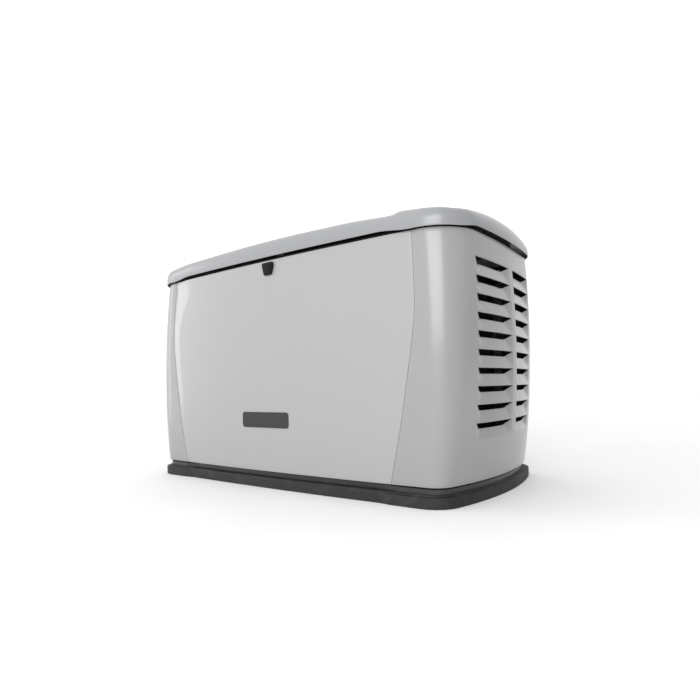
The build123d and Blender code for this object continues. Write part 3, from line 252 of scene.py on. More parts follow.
class Nodes:
    """Short ways to build one material's node tree."""

    def __init__(self, name):
        self.material = bpy.data.materials.new(name)
        self.material.use_nodes = True
        self.tree = self.material.node_tree
        self.shader = self.tree.nodes["Principled BSDF"]
        coords = self.tree.nodes.new("ShaderNodeTexCoord")
        self.coords = coords.outputs["Object"]

    def node(self, kind, inputs=(), **settings):
        made = self.tree.nodes.new(kind)
        for key, value in settings.items():
            setattr(made, key, value)
        for key, value in dict(inputs).items():
            if isinstance(value, bpy.types.NodeSocket):
                self.tree.links.new(value, made.inputs[key])
            else:
                made.inputs[key].default_value = value
        return made

    def stretched(self, scale, turn=(0, 0, 0)):
        inputs = {"Vector": self.coords, "Scale": scale, "Rotation": turn}
        return self.node("ShaderNodeMapping", inputs).outputs["Vector"]

    def noise(self, scale, detail=4.0, rough=0.5, vector=None):
        inputs = {"Vector": vector or self.coords, "Scale": scale, "Detail": detail, "Roughness": rough}
        return self.node("ShaderNodeTexNoise", inputs).outputs["Fac"]

    def voronoi(self, scale, output="Distance", feature="F1", vector=None, randomness=1.0):
        inputs = {"Vector": vector or self.coords, "Scale": scale, "Randomness": randomness}
        return self.node("ShaderNodeTexVoronoi", inputs, feature=feature).outputs[output]

    def bands(self, scale, axis="X", distortion=0.0, vector=None, profile="SIN"):
        inputs = {"Vector": vector or self.coords, "Scale": scale, "Distortion": distortion}
        made = self.node("ShaderNodeTexWave", inputs, bands_direction=axis, wave_profile=profile)
        return made.outputs["Fac"]

    def ramp(self, fac, stops):
        made = self.node("ShaderNodeValToRGB", {"Fac": fac})
        elements = made.color_ramp.elements
        while len(elements) < len(stops):
            elements.new(0.5)
        for element, (position, colour) in zip(elements, stops):
            element.position = position
            element.color = (*colour, 1.0)
        return made.outputs["Color"]

    def spread(self, fac, low, high, start=0.3, end=0.7):
        inputs = {"Value": fac, "From Min": start, "From Max": end, "To Min": low, "To Max": high}
        return self.node("ShaderNodeMapRange", inputs).outputs["Result"]

    def maths(self, operation, a, b):
        made = self.node("ShaderNodeMath", operation=operation)
        for socket, value in zip(made.inputs, (a, b)):
            if isinstance(value, bpy.types.NodeSocket):
                self.tree.links.new(value, socket)
            else:
                socket.default_value = value
        return made.outputs["Value"]

    def mix(self, fac, a, b, blend="MIX"):
        made = self.node("ShaderNodeMix", data_type="RGBA", blend_type=blend)
        for index, value in ((0, fac), (6, a), (7, b)):
            if isinstance(value, bpy.types.NodeSocket):
                self.tree.links.new(value, made.inputs[index])
            else:
                made.inputs[index].default_value = (*value, 1.0) if index > 0 else value
        return made.outputs[2]

    def bump(self, height, distance, strength=1.0, normal=None):
        inputs = {"Height": height, "Distance": distance, "Strength": strength}
        if normal is not None:
            inputs["Normal"] = normal
        return self.node("ShaderNodeBump", inputs).outputs["Normal"]

    def shade(self, colour=None, roughness=None, normal=None, metallic=None, **fixed):
        for socket, value in (
            ("Base Color", colour),
            ("Roughness", roughness),
            ("Normal", normal),
            ("Metallic", metallic),
        ):
            if isinstance(value, bpy.types.NodeSocket):
                self.tree.links.new(value, self.shader.inputs[socket])
            elif value is not None:
                self.shader.inputs[socket].default_value = value
        for key, value in fixed.items():
            self.shader.inputs[FIXED_SOCKETS[key]].default_value = value
        return self.material


def grey(value, tint=(1.0, 1.0, 1.0)):
    return tuple(value * t for t in tint)


def paint(name, colour, spread=0.04, rough=(0.26, 0.36), peel=0.00009, coat=0.35):
    """Powder coat over sheet metal: faint patches, dust in the grain and an orange-peel surface."""
    n = Nodes(name)
    patches = n.noise(2.2, 3.0)
    grain = n.noise(420.0, 2.0)
    light = tuple(c * (1 + spread) for c in colour)
    dark = tuple(c * (1 - spread) for c in colour)
    base = n.ramp(patches, [(0.3, dark), (0.7, light)])
    fleck = n.ramp(grain, [(0.3, grey(0.975)), (0.7, grey(1.0))])
    base = n.mix(1.0, base, fleck, "MULTIPLY")
    roughness = n.spread(n.noise(9.0, 5.0), *rough)
    surface = n.bump(n.noise(330.0, 2.0, 0.4), peel)
    surface = n.bump(n.noise(38.0, 2.0), peel * 1.6, 1.0, surface)
    return n.shade(base, roughness, surface, 0.0, coat=coat, coat_roughness=0.12)


def composite(name):
    """Coarse recycled composite: mottled charcoal with pale fibres, pits and a moulded grain."""
    n = Nodes(name)
    mottle = n.noise(26.0, 8.0, 0.65)
    base = n.ramp(mottle, [(0.34, grey(0.005)), (0.52, grey(0.012)), (0.70, grey(0.034, (1.0, 1.0, 1.08)))])
    fibres = n.noise(90.0, 4.0, 0.6, n.stretched((1.0, 1.0, 5.0), (0.3, 0.2, 0.5)))
    base = n.mix(n.spread(fibres, 0.0, 0.35, 0.58, 0.72), base, grey(0.08))
    roughness = n.spread(mottle, 0.55, 0.85)
    surface = n.bump(n.noise(240.0, 6.0, 0.7), 0.0005)
    surface = n.bump(n.voronoi(75.0), 0.0009, 0.6, surface)
    return n.shade(base, roughness, surface, 0.0)


def metal(name, colour, rough=(0.25, 0.45), cast=0.0, streak=None, spangle=0.0, dirt=0.12, full=1.0):
    """Bare metal: cast grain, turning or brushing streaks, or a galvanised spangle."""
    n = Nodes(name)
    cloud = n.noise(14.0, 6.0, 0.6)
    dark = tuple(c * (1 - dirt) for c in colour)
    base = n.ramp(cloud, [(0.3, dark), (0.65, colour)])
    roughness = n.spread(cloud, *rough)
    surface = None
    if spangle:
        cells = n.voronoi(spangle, "Color")
        value = n.node("ShaderNodeSeparateColor", {"Color": cells}).outputs["Red"]
        base = n.mix(0.55, base, n.ramp(value, [(0.0, grey(0.78)), (1.0, grey(1.12))]), "MULTIPLY")
        roughness = n.spread(value, rough[0], rough[1], 0.0, 1.0)
        surface = n.bump(value, 0.00012)
    if streak:
        lines = n.noise(160.0, 3.0, 0.6, n.stretched(streak))
        surface = n.bump(lines, 0.00012, 0.7, surface)
        roughness = n.maths("MULTIPLY", roughness, n.spread(lines, 0.75, 1.25))
    if cast:
        surface = n.bump(n.noise(520.0, 4.0, 0.7), cast, 1.0, surface)
        surface = n.bump(n.noise(60.0, 3.0), cast * 0.8, 1.0, surface)
    if surface is None:
        surface = n.bump(n.noise(300.0, 3.0), 0.00005)
    return n.shade(base, roughness, surface, full)


def plastic(name, colour, rough=(0.35, 0.5), grain=0.00012, spread=0.12, scale=600.0, specular=0.5):
    """Moulded plastic: a fine spark-eroded grain and slight flow marks."""
    n = Nodes(name)
    flow = n.noise(11.0, 4.0, 0.55, n.stretched((1.0, 1.0, 0.35)))
    dark = tuple(c * (1 - spread) for c in colour)
    light = tuple(c * (1 + spread) for c in colour)
    base = n.ramp(flow, [(0.3, dark), (0.7, light)])
    roughness = n.spread(n.noise(70.0, 4.0), *rough)
    return n.shade(base, roughness, n.bump(n.voronoi(scale), grain), 0.0, specular=specular)


def rubber(name, colour):
    n = Nodes(name)
    bloom = n.noise(34.0, 6.0, 0.7)
    base = n.ramp(bloom, [(0.35, grey(colour)), (0.8, grey(colour * 2.2))])
    surface = n.bump(n.noise(700.0, 3.0), 0.00015)
    return n.shade(base, n.spread(bloom, 0.62, 0.86), surface, 0.0, specular=0.15)


def foam(name):
    """Open-cell acoustic foam: dark, matte, with pores and soft egg-crate dimples."""
    n = Nodes(name)
    pores = n.voronoi(520.0)
    base = n.ramp(pores, [(0.1, grey(0.012)), (0.6, grey(0.05))])
    surface = n.bump(n.voronoi(34.0, feature="SMOOTH_F1", randomness=0.15), 0.006, 0.8)
    surface = n.bump(pores, 0.0008, 1.0, surface)
    return n.shade(base, n.spread(pores, 0.8, 1.0, 0.0, 0.7), surface, 0.0)


def pleated(name, colour):
    """Filter paper: sharp vertical pleats with painted shade towards each fold, and dust in patches."""
    n = Nodes(name)
    folds = n.bands(62.0, "X", profile="TRI")
    # painted shade: each pleat's colour falls to less than half towards its fold.
    base = n.ramp(folds, [(0.0, tuple(c * 0.45 for c in colour)), (0.5, colour)])
    base = n.mix(n.spread(n.noise(40.0, 5.0), 0.0, 0.35), base, (0.32, 0.26, 0.17))
    surface = n.bump(folds, 0.003)
    return n.shade(base, n.spread(folds, 0.8, 0.95, 0.0, 1.0), surface, 0.0)


def laminated(name, colour):
    """A stack of stator laminations, varnished at the edges."""
    n = Nodes(name)
    sheets = n.bands(160.0, "X", 0.4)
    base = n.ramp(sheets, [(0.1, tuple(c * 0.5 for c in colour)), (0.7, colour)])
    base = n.mix(n.spread(n.noise(22.0, 5.0), 0.0, 0.4), base, (0.12, 0.05, 0.02))
    return n.shade(base, n.spread(sheets, 0.55, 0.35), n.bump(sheets, 0.0004), 0.65)


def heated(name):
    """Exhaust steel: straw, brown and blue heat tints in drifting zones under fine scale."""
    n = Nodes(name)
    zones = n.noise(7.0, 5.0, 0.6)
    tints = [
        (0.25, (0.22, 0.2, 0.19)),
        (0.42, (0.3, 0.22, 0.12)),
        (0.52, (0.2, 0.12, 0.1)),
        (0.62, (0.12, 0.14, 0.22)),
        (0.75, (0.3, 0.3, 0.3)),
    ]
    base = n.ramp(zones, tints)
    roughness = n.spread(zones, 0.35, 0.6)
    return n.shade(base, roughness, n.bump(n.noise(380.0, 5.0, 0.7), 0.0003), 0.8)


def glass(name):
    """The display window: dark glossy plastic with a faint segment field behind it."""
    n = Nodes(name)
    haze = n.noise(60.0, 4.0)
    base = n.ramp(haze, [(0.3, (0.02, 0.035, 0.028)), (0.7, (0.045, 0.07, 0.05))])
    return n.shade(base, n.spread(haze, 0.06, 0.14), n.bump(n.noise(240.0, 2.0), 0.00002), 0.0, coat=0.6)


MATERIALS = {
    "composite": composite("composite"),
    "frame_black": paint("frame_black", grey(0.028), 0.15, (0.38, 0.52), 0.00012, 0.1),
    "enclosure_paint": paint("enclosure_paint", (0.336, 0.336, 0.338), 0.008, (0.29, 0.33), coat=0.25),
    # painted shade: the end panels carry the same paint as the front and rear, given a darker colour here to
    # stand in for the weaker light on the ends.
    "shaded_end_paint": paint("shaded_end_paint", (0.288, 0.288, 0.291), 0.008, (0.29, 0.33), coat=0.25),
    "lid_paint": paint("lid_paint", (0.262, 0.267, 0.277), 0.008, (0.30, 0.34), coat=0.22),
    # painted shade: the galvanised steel inside is given a darker colour than bare galvanised steel, standing in
    # for the shade inside the enclosure.
    "galvanised": metal("galvanised", (0.25, 0.262, 0.275), (0.38, 0.6), spangle=85.0),
    "zinc_steel": metal("zinc_steel", (0.62, 0.62, 0.60), (0.22, 0.4), streak=(1.0, 1.0, 6.0)),
    "foam": foam("foam"),
    "seal_rubber": rubber("seal_rubber", 0.006),
    "chromed": metal("chromed", (0.72, 0.72, 0.73), (0.06, 0.16), dirt=0.05),
    "cast_aluminium": metal("cast_aluminium", (0.50, 0.51, 0.52), (0.42, 0.62), cast=0.0004),
    "cast_iron": metal("cast_iron", (0.16, 0.15, 0.145), (0.5, 0.75), cast=0.0005, full=0.7),
    "black_paint": paint("black_paint", grey(0.022), 0.2, (0.28, 0.42), 0.0001, 0.3),
    "black_plastic": plastic("black_plastic", grey(0.022)),
    "fan_aluminium": metal("fan_aluminium", (0.58, 0.58, 0.59), (0.3, 0.5), cast=0.00025, streak=(4.0, 1.0, 1.0)),
    "machined_steel": metal("machined_steel", (0.48, 0.47, 0.46), (0.18, 0.34), streak=(14.0, 1.0, 1.0)),
    "stator_steel": laminated("stator_steel", (0.26, 0.26, 0.27)),
    "filter_white": paint("filter_white", grey(0.68), 0.05, (0.2, 0.3), 0.00005, 0.4),
    "plug_ceramic": plastic("plug_ceramic", grey(0.74, (1.0, 0.99, 0.96)), (0.12, 0.22), 0.00003, 0.04, 300.0),
    "yellow_plastic": plastic("yellow_plastic", (0.72, 0.42, 0.02), (0.3, 0.42), 0.00008, 0.06),
    "filter_paper": pleated("filter_paper", (0.66, 0.55, 0.34)),
    "exhaust_steel": heated("exhaust_steel"),
    "red_plastic": plastic("red_plastic", (0.45, 0.02, 0.015), (0.3, 0.42), 0.00008, 0.08),
    "display_glass": glass("display_glass"),
    "nameplate": plastic("nameplate", grey(0.03), (0.3, 0.42), 0.00006, 0.1, 900.0, 0.3),
    "lock_cover": plastic("lock_cover", grey(0.005), (0.34, 0.48), 0.0001, 0.2, 700.0, 0.12),
    "button_grey": plastic("button_grey", grey(0.28), (0.4, 0.55), 0.0001, 0.06),
}
SLOT_OF = {p["node"]: p["material_slot"] for p in frame["record"]["subparts"]}
for node_name, node_object in frame["nodes"].items():
    node_object.data.materials.clear()
    node_object.data.materials.append(MATERIALS[SLOT_OF[node_name]])


# ---- front and rear panels ----
COLUMNS_FLAT = 66
COLUMNS_FACET = 5
PANEL_ROWS = 79


def facet(z):
    """(half X of a front seam, width of the facet beside it, how far the skin is pulled in at the seam)."""
    width = float(np.interp(z, *zip(*FACET_WIDTH)))
    fade = float(smooth((z - FACET_FADE_Z[0]) / (FACET_FADE_Z[1] - FACET_FADE_Z[0])))
    return curve(z, FRONT_SEAM), width, FACET_SLOPE * width * fade


def side_panel(name, sign, facets):
    """A bowed panel between the seams: sign is -1 for the front and 1 for the rear."""
    verts = []
    for z in np.linspace(*PANEL_Z, PANEL_ROWS):
        section = panel_section(z)
        seam, width, depth = facet(z) if facets else (SEAM_X, 30.0, 0.0)
        limit = seam - SEAM_GAP / 2
        edge = limit - width
        half = np.concatenate([
            np.linspace(0, edge - 1.5, COLUMNS_FLAT // 2 + 1),
            np.linspace(edge + 1.5, limit, COLUMNS_FACET + 1),
        ])
        pull = depth * np.clip((half - edge) / width, 0, 1)
        y = np.interp(half, section[:, 0], section[:, 1]) + pull
        xs = np.concatenate([-half[:0:-1], half])
        ys = np.concatenate([y[:0:-1], y])
        verts.extend((x, -sign * v, z) for x, v in zip(xs, ys))
    columns = 2 * (COLUMNS_FLAT // 2 + COLUMNS_FACET + 1) + 1
    faces = grid_faces(PANEL_ROWS, columns)
    body = "front_panel" if sign < 0 else "base"
    return make_object(name, verts, faces, body, MATERIALS["enclosure_paint"], 0)


def orient_outwards(obj):
    """Turns an open skin's faces so that they point away from the enclosure's axis."""
    mesh = obj.data
    total = 0.0
    for polygon in mesh.polygons:
        centre = polygon.center
        total += polygon.area * (centre.x * polygon.normal.x + centre.y * polygon.normal.y + centre.z * 0)
    if total < 0:
        mesh.flip_normals()


front_skin = side_panel("front_panel_skin", -1, True)
orient_outwards(front_skin)
thicken(front_skin, SHEET, lining=MATERIALS["foam"])
front_skin.data.set_sharp_from_angle(angle=math.radians(30))
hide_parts("front_panel")

rear_skin = side_panel("rear_panel_skin", 1, False)
orient_outwards(rear_skin)
thicken(rear_skin, SHEET, lining=MATERIALS["foam"])
rear_skin.data.set_sharp_from_angle(angle=math.radians(30))
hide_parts("rear_panel")


# ---- nameplate and lock cover, on the front panel ----
def front_y(x, z):
    section = panel_section(z)
    return float(np.interp(abs(x), section[:, 0], section[:, 1]))


def rounded_loop(corners, radius, inset=0.0, steps=6):
    """A convex polygon of (x, z) corners, anticlockwise, moved inwards by inset, with round corners."""
    points = np.array(corners)
    along = np.roll(points, -1, 0) - points
    along /= np.linalg.norm(along, axis=1)[:, None]
    inward = np.stack([-along[:, 1], along[:, 0]], 1)
    radius = max(radius - inset, 0.5)
    loop = []
    for i in range(len(points)):
        pair = inward[[i - 1, i]]
        reach = [n @ points[i] + inset + radius for n in pair]
        centre = np.linalg.solve(pair, reach)
        start, end = (math.atan2(-n[1], -n[0]) for n in pair)
        if end < start:
            end += 2 * math.pi
        for angle in np.linspace(start, end, steps):
            loop.append(centre + radius * np.array([math.cos(angle), math.sin(angle)]))
    return loop


def stacked(name, rings, body, material, smooth_angle=30.0):
    """A closed solid through rings of the same number of points, capped at both ends."""
    count = len(rings[0])
    verts = [p for ring in rings for p in ring]
    faces = grid_faces(len(rings), count, closed=True)
    faces += [tuple(range(count)), tuple(range(len(verts) - count, len(verts)))]
    return make_object(name, verts, faces, body, material, smooth_angle)


PLATE_X = (-115.0, 75.0)
PLATE_Z = (177.0, 223.0)
PLATE_CORNERS = [
    (PLATE_X[0], PLATE_Z[0]),
    (PLATE_X[1], PLATE_Z[0]),
    (PLATE_X[1], PLATE_Z[1]),
    (PLATE_X[0], PLATE_Z[1]),
]
PLATE_PROFILE = ((0.0, 0.0), (0.0, 1.1), (0.5, 1.5), (2.6, 1.6), (3.2, 0.9), (9.0, 0.9), (15.0, 0.9), (21.0, 0.9))
plate_rings = [
    [(x, front_y(x, z) - height, z) for x, z in rounded_loop(PLATE_CORNERS, 9.0, inset)]
    for inset, height in PLATE_PROFILE
]
plate = stacked("blank_nameplate", plate_rings, "front_panel", MATERIALS["nameplate"])
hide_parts("nameplate")

COVER_CORNERS = [(-15.0, 625.0), (15.0, 625.0), (24.5, 662.0), (-24.5, 662.0)]
COVER_BACK = -309.8
COVER_PROFILE = ((0.0, 0.0), (0.0, 3.0), (0.5, 4.2), (1.6, 5.1), (3.4, 5.5), (6.0, 5.9), (10.0, 6.1), (13.0, 6.2))
cover_rings = [
    [(x, COVER_BACK - height, z) for x, z in rounded_loop(COVER_CORNERS, 6.5, inset)]
    for inset, height in COVER_PROFILE
]
cover = stacked("pillow_lock_cover", cover_rings, "lock_cover", MATERIALS["lock_cover"])
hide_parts("lock_cover")


# ---- louvred end panels ----
FLAT_Y = 212.0
WRAP_COLUMNS = 26


def louvre_window(y):
    """(recess share, slot share) at y: both rise from 0 at a louvre's ends to 1."""
    dished = slot = 0.0
    for middle, width in LOUVRE_COLUMNS:
        inside = width / 2 - abs(y - middle)
        if inside > -6.0:
            dished = float(smooth((inside + 6.0) / LOUVRE_FADE))
        if inside > 0:
            slot = math.sin(math.pi / 2 * min(1.0, inside / LOUVRE_TAPERS[y > middle]))
    return dished, slot


def end_columns():
    ys = set(np.round(np.linspace(-FLAT_Y, FLAT_Y, 71), 3))
    for middle, width in LOUVRE_COLUMNS:
        for end in (middle - width / 2, middle + width / 2):
            inward = 1 if end < middle else -1
            for step in (-6.0, -3.0, 0.0, 2.0, 5.0, 9.0, 14.0, 20.0, 27.0, 34.0, 42.0, 50.0):
                ys.add(round(end + inward * step, 3))
    kept = []
    for y in sorted(ys):
        if not kept or y - kept[-1] > 1.2:
            kept.append(y)
    return kept


def end_rows():
    """(z with a slot, z without, recess share, whether a slot lies below) for each row, from the top."""
    rows = [(z, z, 0.0, False) for z in (PANEL_Z[1], 655.0, 640.0, 625.0, 612.0)]
    for i in range(LOUVRE_ROWS):
        top = LOUVRE_TOP_Z - i * LOUVRE_PITCH
        upper = top + LOUVRE_PITCH - LOUVRE_SLOT
        for share in (0.07, 0.2, 0.4, 0.6, 0.8, 0.93) if i else ():
            z = upper + (top - upper) * share
            rows.append((z, z, 1 - share, False))
        rows.append((top, top, 0.0, True))
        rows.append((top - LOUVRE_SLOT, top, 1.0, False))
    lowest = LOUVRE_TOP_Z - (LOUVRE_ROWS - 1) * LOUVRE_PITCH - LOUVRE_SLOT
    for share in np.linspace(0, 1, 9)[1:]:
        z = lowest - LOUVRE_RETURN * share
        rows.append((z, z, 1 - float(smooth(share)), False))
    for z in np.linspace(lowest - LOUVRE_RETURN, PANEL_Z[0], 10)[1:]:
        rows.append((z, z, 0.0, False))
    return rows


def end_skin(side):
    ys = end_columns()
    rows = end_rows()
    windows = [louvre_window(y) for y in ys]
    verts = []
    columns = len(ys) + 2 * WRAP_COLUMNS
    for z_open, z_shut, recess, _ in rows:
        section_cache = {}
        line = []
        for j in range(columns):
            inner = WRAP_COLUMNS <= j < WRAP_COLUMNS + len(ys)
            dished, slot = windows[j - WRAP_COLUMNS] if inner else (0.0, 0.0)
            z = z_shut + (z_open - z_shut) * slot
            if z not in section_cache:
                s = panel_section(z)
                length = np.concatenate([[0], np.cumsum(np.linalg.norm(np.diff(s, axis=0), axis=1))])
                section_cache[z] = (s, length)
            s, length = section_cache[z]
            if inner:
                y = ys[j - WRAP_COLUMNS]
                x = np.interp(abs(y), -s[::-1, 1], s[::-1, 0])
                slope = (np.interp(abs(y) + 1, -s[::-1, 1], s[::-1, 0]) - x) * (1 if y > 0 else -1)
                normal = Vector((1.0, -slope, 0.0)).normalized()
                out = -LOUVRE_DEPTH * dished * recess
                line.append((x + normal.x * out, y + normal.y * out, z))
            else:
                front = j < WRAP_COLUMNS
                step = WRAP_COLUMNS - j if front else j - WRAP_COLUMNS - len(ys) + 1
                fraction = step / WRAP_COLUMNS
                at_flat = np.interp(-FLAT_Y, s[:, 1], length)
                seam, _, depth = facet(z) if front else (SEAM_X, 0.0, 0.0)
                at_seam = np.interp(seam + SEAM_GAP / 2, s[:, 0], length)
                at = at_flat + (at_seam - at_flat) * fraction
                x, y = np.interp(at, length, s[:, 0]), np.interp(at, length, s[:, 1])
                y += depth * float(smooth((at_seam + 42.0 - at) / 42.0))
                line.append((x, y if front else -y, z))
        verts.extend((side * x, y, z) for x, y, z in line)

    def skip(i, j):
        if not rows[i][3]:
            return False
        a, b = j - WRAP_COLUMNS, j + 1 - WRAP_COLUMNS
        return 0 <= a and b < len(ys) and max(windows[a][1], windows[b][1]) > 0

    name = "right_end_skin" if side > 0 else "left_end_skin"
    # The ends take the darker, shaded copy of the panel paint.
    skin = make_object(name, verts, grid_faces(len(rows), columns, skip), "base", MATERIALS["shaded_end_paint"], 0)
    orient_outwards(skin)
    thicken(skin, SHEET, lining=MATERIALS["foam"])
    skin.data.set_sharp_from_angle(angle=math.radians(32))
    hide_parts(name.replace("_skin", "_panel"))
    return skin


end_skin(-1)
end_skin(1)


# ---- lid ----
def roof_z(x, y):
    share = float(smooth((x - STEP_X + STEP_HALF) / (2 * STEP_HALF)))
    z = curve(x, ROOF_LEFT) * (1 - share) + curve(x, ROOF_RIGHT) * share
    z -= CORNER_DROP * float(smooth((abs(x) - 400.0) / 150.0) * smooth((abs(y) - 150.0) / 120.0))
    z -= RIGHT_CROWN * float(smooth((x - 430.0) / 130.0)) * min(1.0, abs(y) / 250.0) ** 2
    knee = ROOF_LIMIT - ROOF_EASE
    return z if z < knee else knee + ROOF_EASE * math.tanh((z - knee) / ROOF_EASE)


def lid_outline():
    """The lid's plan as rows of (x, y, outward x, outward y, shoulder width)."""
    counts = (80, 26, 30)
    q = quarter(LID_PLAN, counts)
    share = np.concatenate([
        np.zeros(counts[0] + 1),
        np.linspace(0, 1, counts[1] + 1)[1:],
        np.ones(counts[2]),
    ])
    tangent = np.gradient(q, axis=0)
    normal = np.stack([tangent[:, 1], -tangent[:, 0]], 1)
    normal /= np.linalg.norm(normal, axis=1)[:, None]
    normal[0] = (0.0, -1.0)
    normal[-1] = (1.0, 0.0)
    rows = np.column_stack([q, normal, share])
    mirror_y = np.array([1, -1, 1, -1, 1])
    mirror_x = np.array([-1, 1, -1, 1, 1])
    loop = np.concatenate([
        rows,
        rows[::-1][1:] * mirror_y,
        rows[1:] * mirror_x * mirror_y,
        rows[::-1][1:-1] * mirror_x,
    ])
    left, right, end, corner = SHOULDERS
    side = left + (right - left) * smooth((loop[:, 0] - 150.0) / 200.0)
    blend = smooth(loop[:, 4])
    base = side * (1 - blend) + end * blend
    loop[:, 4] = base + 4 * loop[:, 4] * (1 - loop[:, 4]) * (corner - base)
    return loop


def roof_faces(ring):
    """Triangles that fill the roof inside its ring of (x, y, z), with an even grid of points."""
    edge = np.array(ring)[:, :2]
    edge_x, edge_y = edge[edge[:, 1] <= 0].T
    order = np.argsort(edge_x)
    edge_x, edge_y = edge_x[order], -edge_y[order]
    xs = sorted(set(np.arange(-576.0, 577.0, 12.0)) | set(np.arange(STEP_X - 15.0, STEP_X + 16.0, 3.0)))
    inside = []
    for x in xs:
        reach = min(np.interp(x + d, edge_x, edge_y, 0, 0) for d in (-7.0, 7.0)) - 7.0
        inside.extend((x, y) for y in np.arange(-276.0, 277.0, 12.0) if abs(y) < reach)
    points = [Vector(p) for p in edge] + [Vector(p) for p in inside]
    loop = [(i, (i + 1) % len(edge)) for i in range(len(edge))]
    made = delaunay_2d_cdt(points, loop, [], 1, 0.001)
    return [tuple(p) for p in made[0]], [tuple(f) for f in made[2]]


def lid_skin():
    outline = lid_outline()
    count = len(outline)
    verts = []
    for inset, z in ((1.2, 0.0), (0.3, 0.7), (0.0, 2.0)):
        for x, y, nx, ny, _ in outline:
            reach = -180.0 if x > 0 else -40.0
            drop = RIM_DROP * float(smooth((abs(x) - 380.0) / 90.0) * smooth((reach - y) / 70.0))
            verts.append((x - nx * inset, y - ny * inset, RIM_Z + z - drop))
    for angle in np.linspace(0, math.pi / 2, 19):
        for x, y, nx, ny, width in outline:
            inset = width * (1 - math.cos(angle))
            top = roof_z(x - nx * width, y - ny * width)
            verts.append((x - nx * inset, y - ny * inset, SHOULDER_Z + (top - SHOULDER_Z) * math.sin(angle)))
    rings = len(verts) // count
    faces = grid_faces(rings, count, closed=True)
    points, triangles = roof_faces(verts[-count:])
    start = len(verts)
    verts += [(x, y, roof_z(x, y)) for x, y in points]
    faces += [tuple(start + k for k in t) for t in triangles]
    skin = make_object("lid_skin", verts, faces, "lid", MATERIALS["lid_paint"], 0)
    if sum(p.normal.z * p.area for p in skin.data.polygons) < 0:
        skin.data.flip_normals()
    thicken(skin, 2.6)
    skin.data.set_sharp_from_angle(angle=math.radians(40))
    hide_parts("lid")


lid_skin()


# ---- lid liner ----
def full_loop(plan, inset=0.0):
    grown = plan._replace(
        half_x=plan.half_x - inset,
        half_y=plan.half_y - inset,
        corner_r=plan.corner_r - inset,
    )
    q = quarter(grown, (70, 14, 24))
    return np.concatenate([q, q[::-1][1:] * [1, -1], q[1:] * [-1, -1], q[::-1][1:-1] * [-1, 1]])


LINER_MARGIN = 47.0
LINER_THICK = 16.0
LINER_DROP = 4.0
LINER_RINGS = 30


def liner_skin():
    """The foam under the roof, as one sheet that follows it."""
    loop = full_loop(LID_PLAN, LINER_MARGIN)[::3]
    shares = np.linspace(0.02, 1.0, LINER_RINGS)
    verts = [(x, y, roof_z(x, y) - LINER_DROP) for share in shares for x, y in loop * share]
    faces = grid_faces(LINER_RINGS, len(loop), closed=True)
    faces.append(tuple(range(len(loop))))
    liner = make_object("foam_liner", verts, faces, "lid", MATERIALS["foam"], 0)
    bm = bmesh.new()
    bm.from_mesh(liner.data)
    bmesh.ops.recalc_face_normals(bm, faces=bm.faces)
    bm.to_mesh(liner.data)
    bm.free()
    if sum(p.normal.z * p.area for p in liner.data.polygons) < 0:
        liner.data.flip_normals()
    thicken(liner, LINER_THICK)
    liner.data.set_sharp_from_angle(angle=math.radians(40))
    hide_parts("lid_liner")


liner_skin()


# ---- weather seal: a bulb on the top edge of the panels ----
SEAL_CENTRE = (7.4, 673.5)
SEAL_R = 3.7
SEAL_FOOT = ((0.3, 669.0), (0.3, 670.6), (3.2, 671.2))


def seal_skin():
    around = [math.radians(a) for a in range(-150, 151, 20)]
    turned = [a + math.pi / 6 for a in around]
    bulb = [(SEAL_CENTRE[0] - SEAL_R * math.cos(a), SEAL_CENTRE[1] + SEAL_R * math.sin(a)) for a in turned]
    profile = [*SEAL_FOOT, *[p for p in bulb if p[1] > 671.0], (10.6, 670.6), (10.6, 669.0)]
    verts = []
    for inset, z in profile:
        verts.extend((x, y, z) for x, y in full_loop(PANEL_HIGH, inset))
    count = len(verts) // len(profile)
    faces = grid_faces(len(profile), count, closed=True)
    last = (len(profile) - 1) * count
    faces += [(last + j, last + (j + 1) % count, (j + 1) % count, j) for j in range(count)]
    seal = make_object("bulb_seal", verts, faces, "base", MATERIALS["seal_rubber"], 50)
    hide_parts("lid_seal")


seal_skin()


# ---- composite pad and the ledge of the base frame ----
def corner_blocks(loop, corner_loop):
    """A loop that runs out along a ramp to a second one past |x| = PAD_CORNER_X, to thicken the corners."""
    share = np.clip((np.abs(loop[:, :1]) - PAD_CORNER_X + PAD_RAMP) / PAD_RAMP, 0, 1)
    return loop * (1 - share) + corner_loop * share


def capped_solid(name, loops, holes, body, material, nodes):
    """A closed solid through loops of (points, z), capped at both ends, with round vertical holes."""
    bm = bmesh.new()
    rings = [[bm.verts.new((MM * x, MM * y, MM * z)) for x, y in points] for points, z in loops]
    count = len(rings[0])
    for lower, upper in zip(rings, rings[1:]):
        for j in range(count):
            k = (j + 1) % count
            bm.faces.new((lower[j], lower[k], upper[k], upper[j]))
    tubes = []
    for hx, hy in holes:
        turns = [2 * math.pi * i / 24 for i in range(24)]
        circle = [(hx + ANCHOR_R * math.cos(t), hy + ANCHOR_R * math.sin(t)) for t in turns]
        levels = (loops[0][1], loops[-1][1])
        ends = [[bm.verts.new((MM * x, MM * y, MM * z)) for x, y in circle] for z in levels]
        for j in range(24):
            k = (j + 1) % 24
            bm.faces.new((ends[0][k], ends[0][j], ends[1][j], ends[1][k]))
        tubes.append(ends)
    for index, ring in ((0, rings[0]), (1, rings[-1])):
        edges = []
        for loop in [ring] + [t[index] for t in tubes]:
            for j, vert in enumerate(loop):
                nxt = loop[(j + 1) % len(loop)]
                edges.append(bm.edges.get((vert, nxt)) or bm.edges.new((vert, nxt)))
        bmesh.ops.triangle_fill(bm, use_beauty=True, edges=edges)
    bmesh.ops.recalc_face_normals(bm, faces=bm.faces)
    mesh = bpy.data.meshes.new(name)
    bm.to_mesh(mesh)
    bm.free()
    obj = add_mesh(name, mesh, body, material, 38)
    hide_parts(*nodes)
    return obj


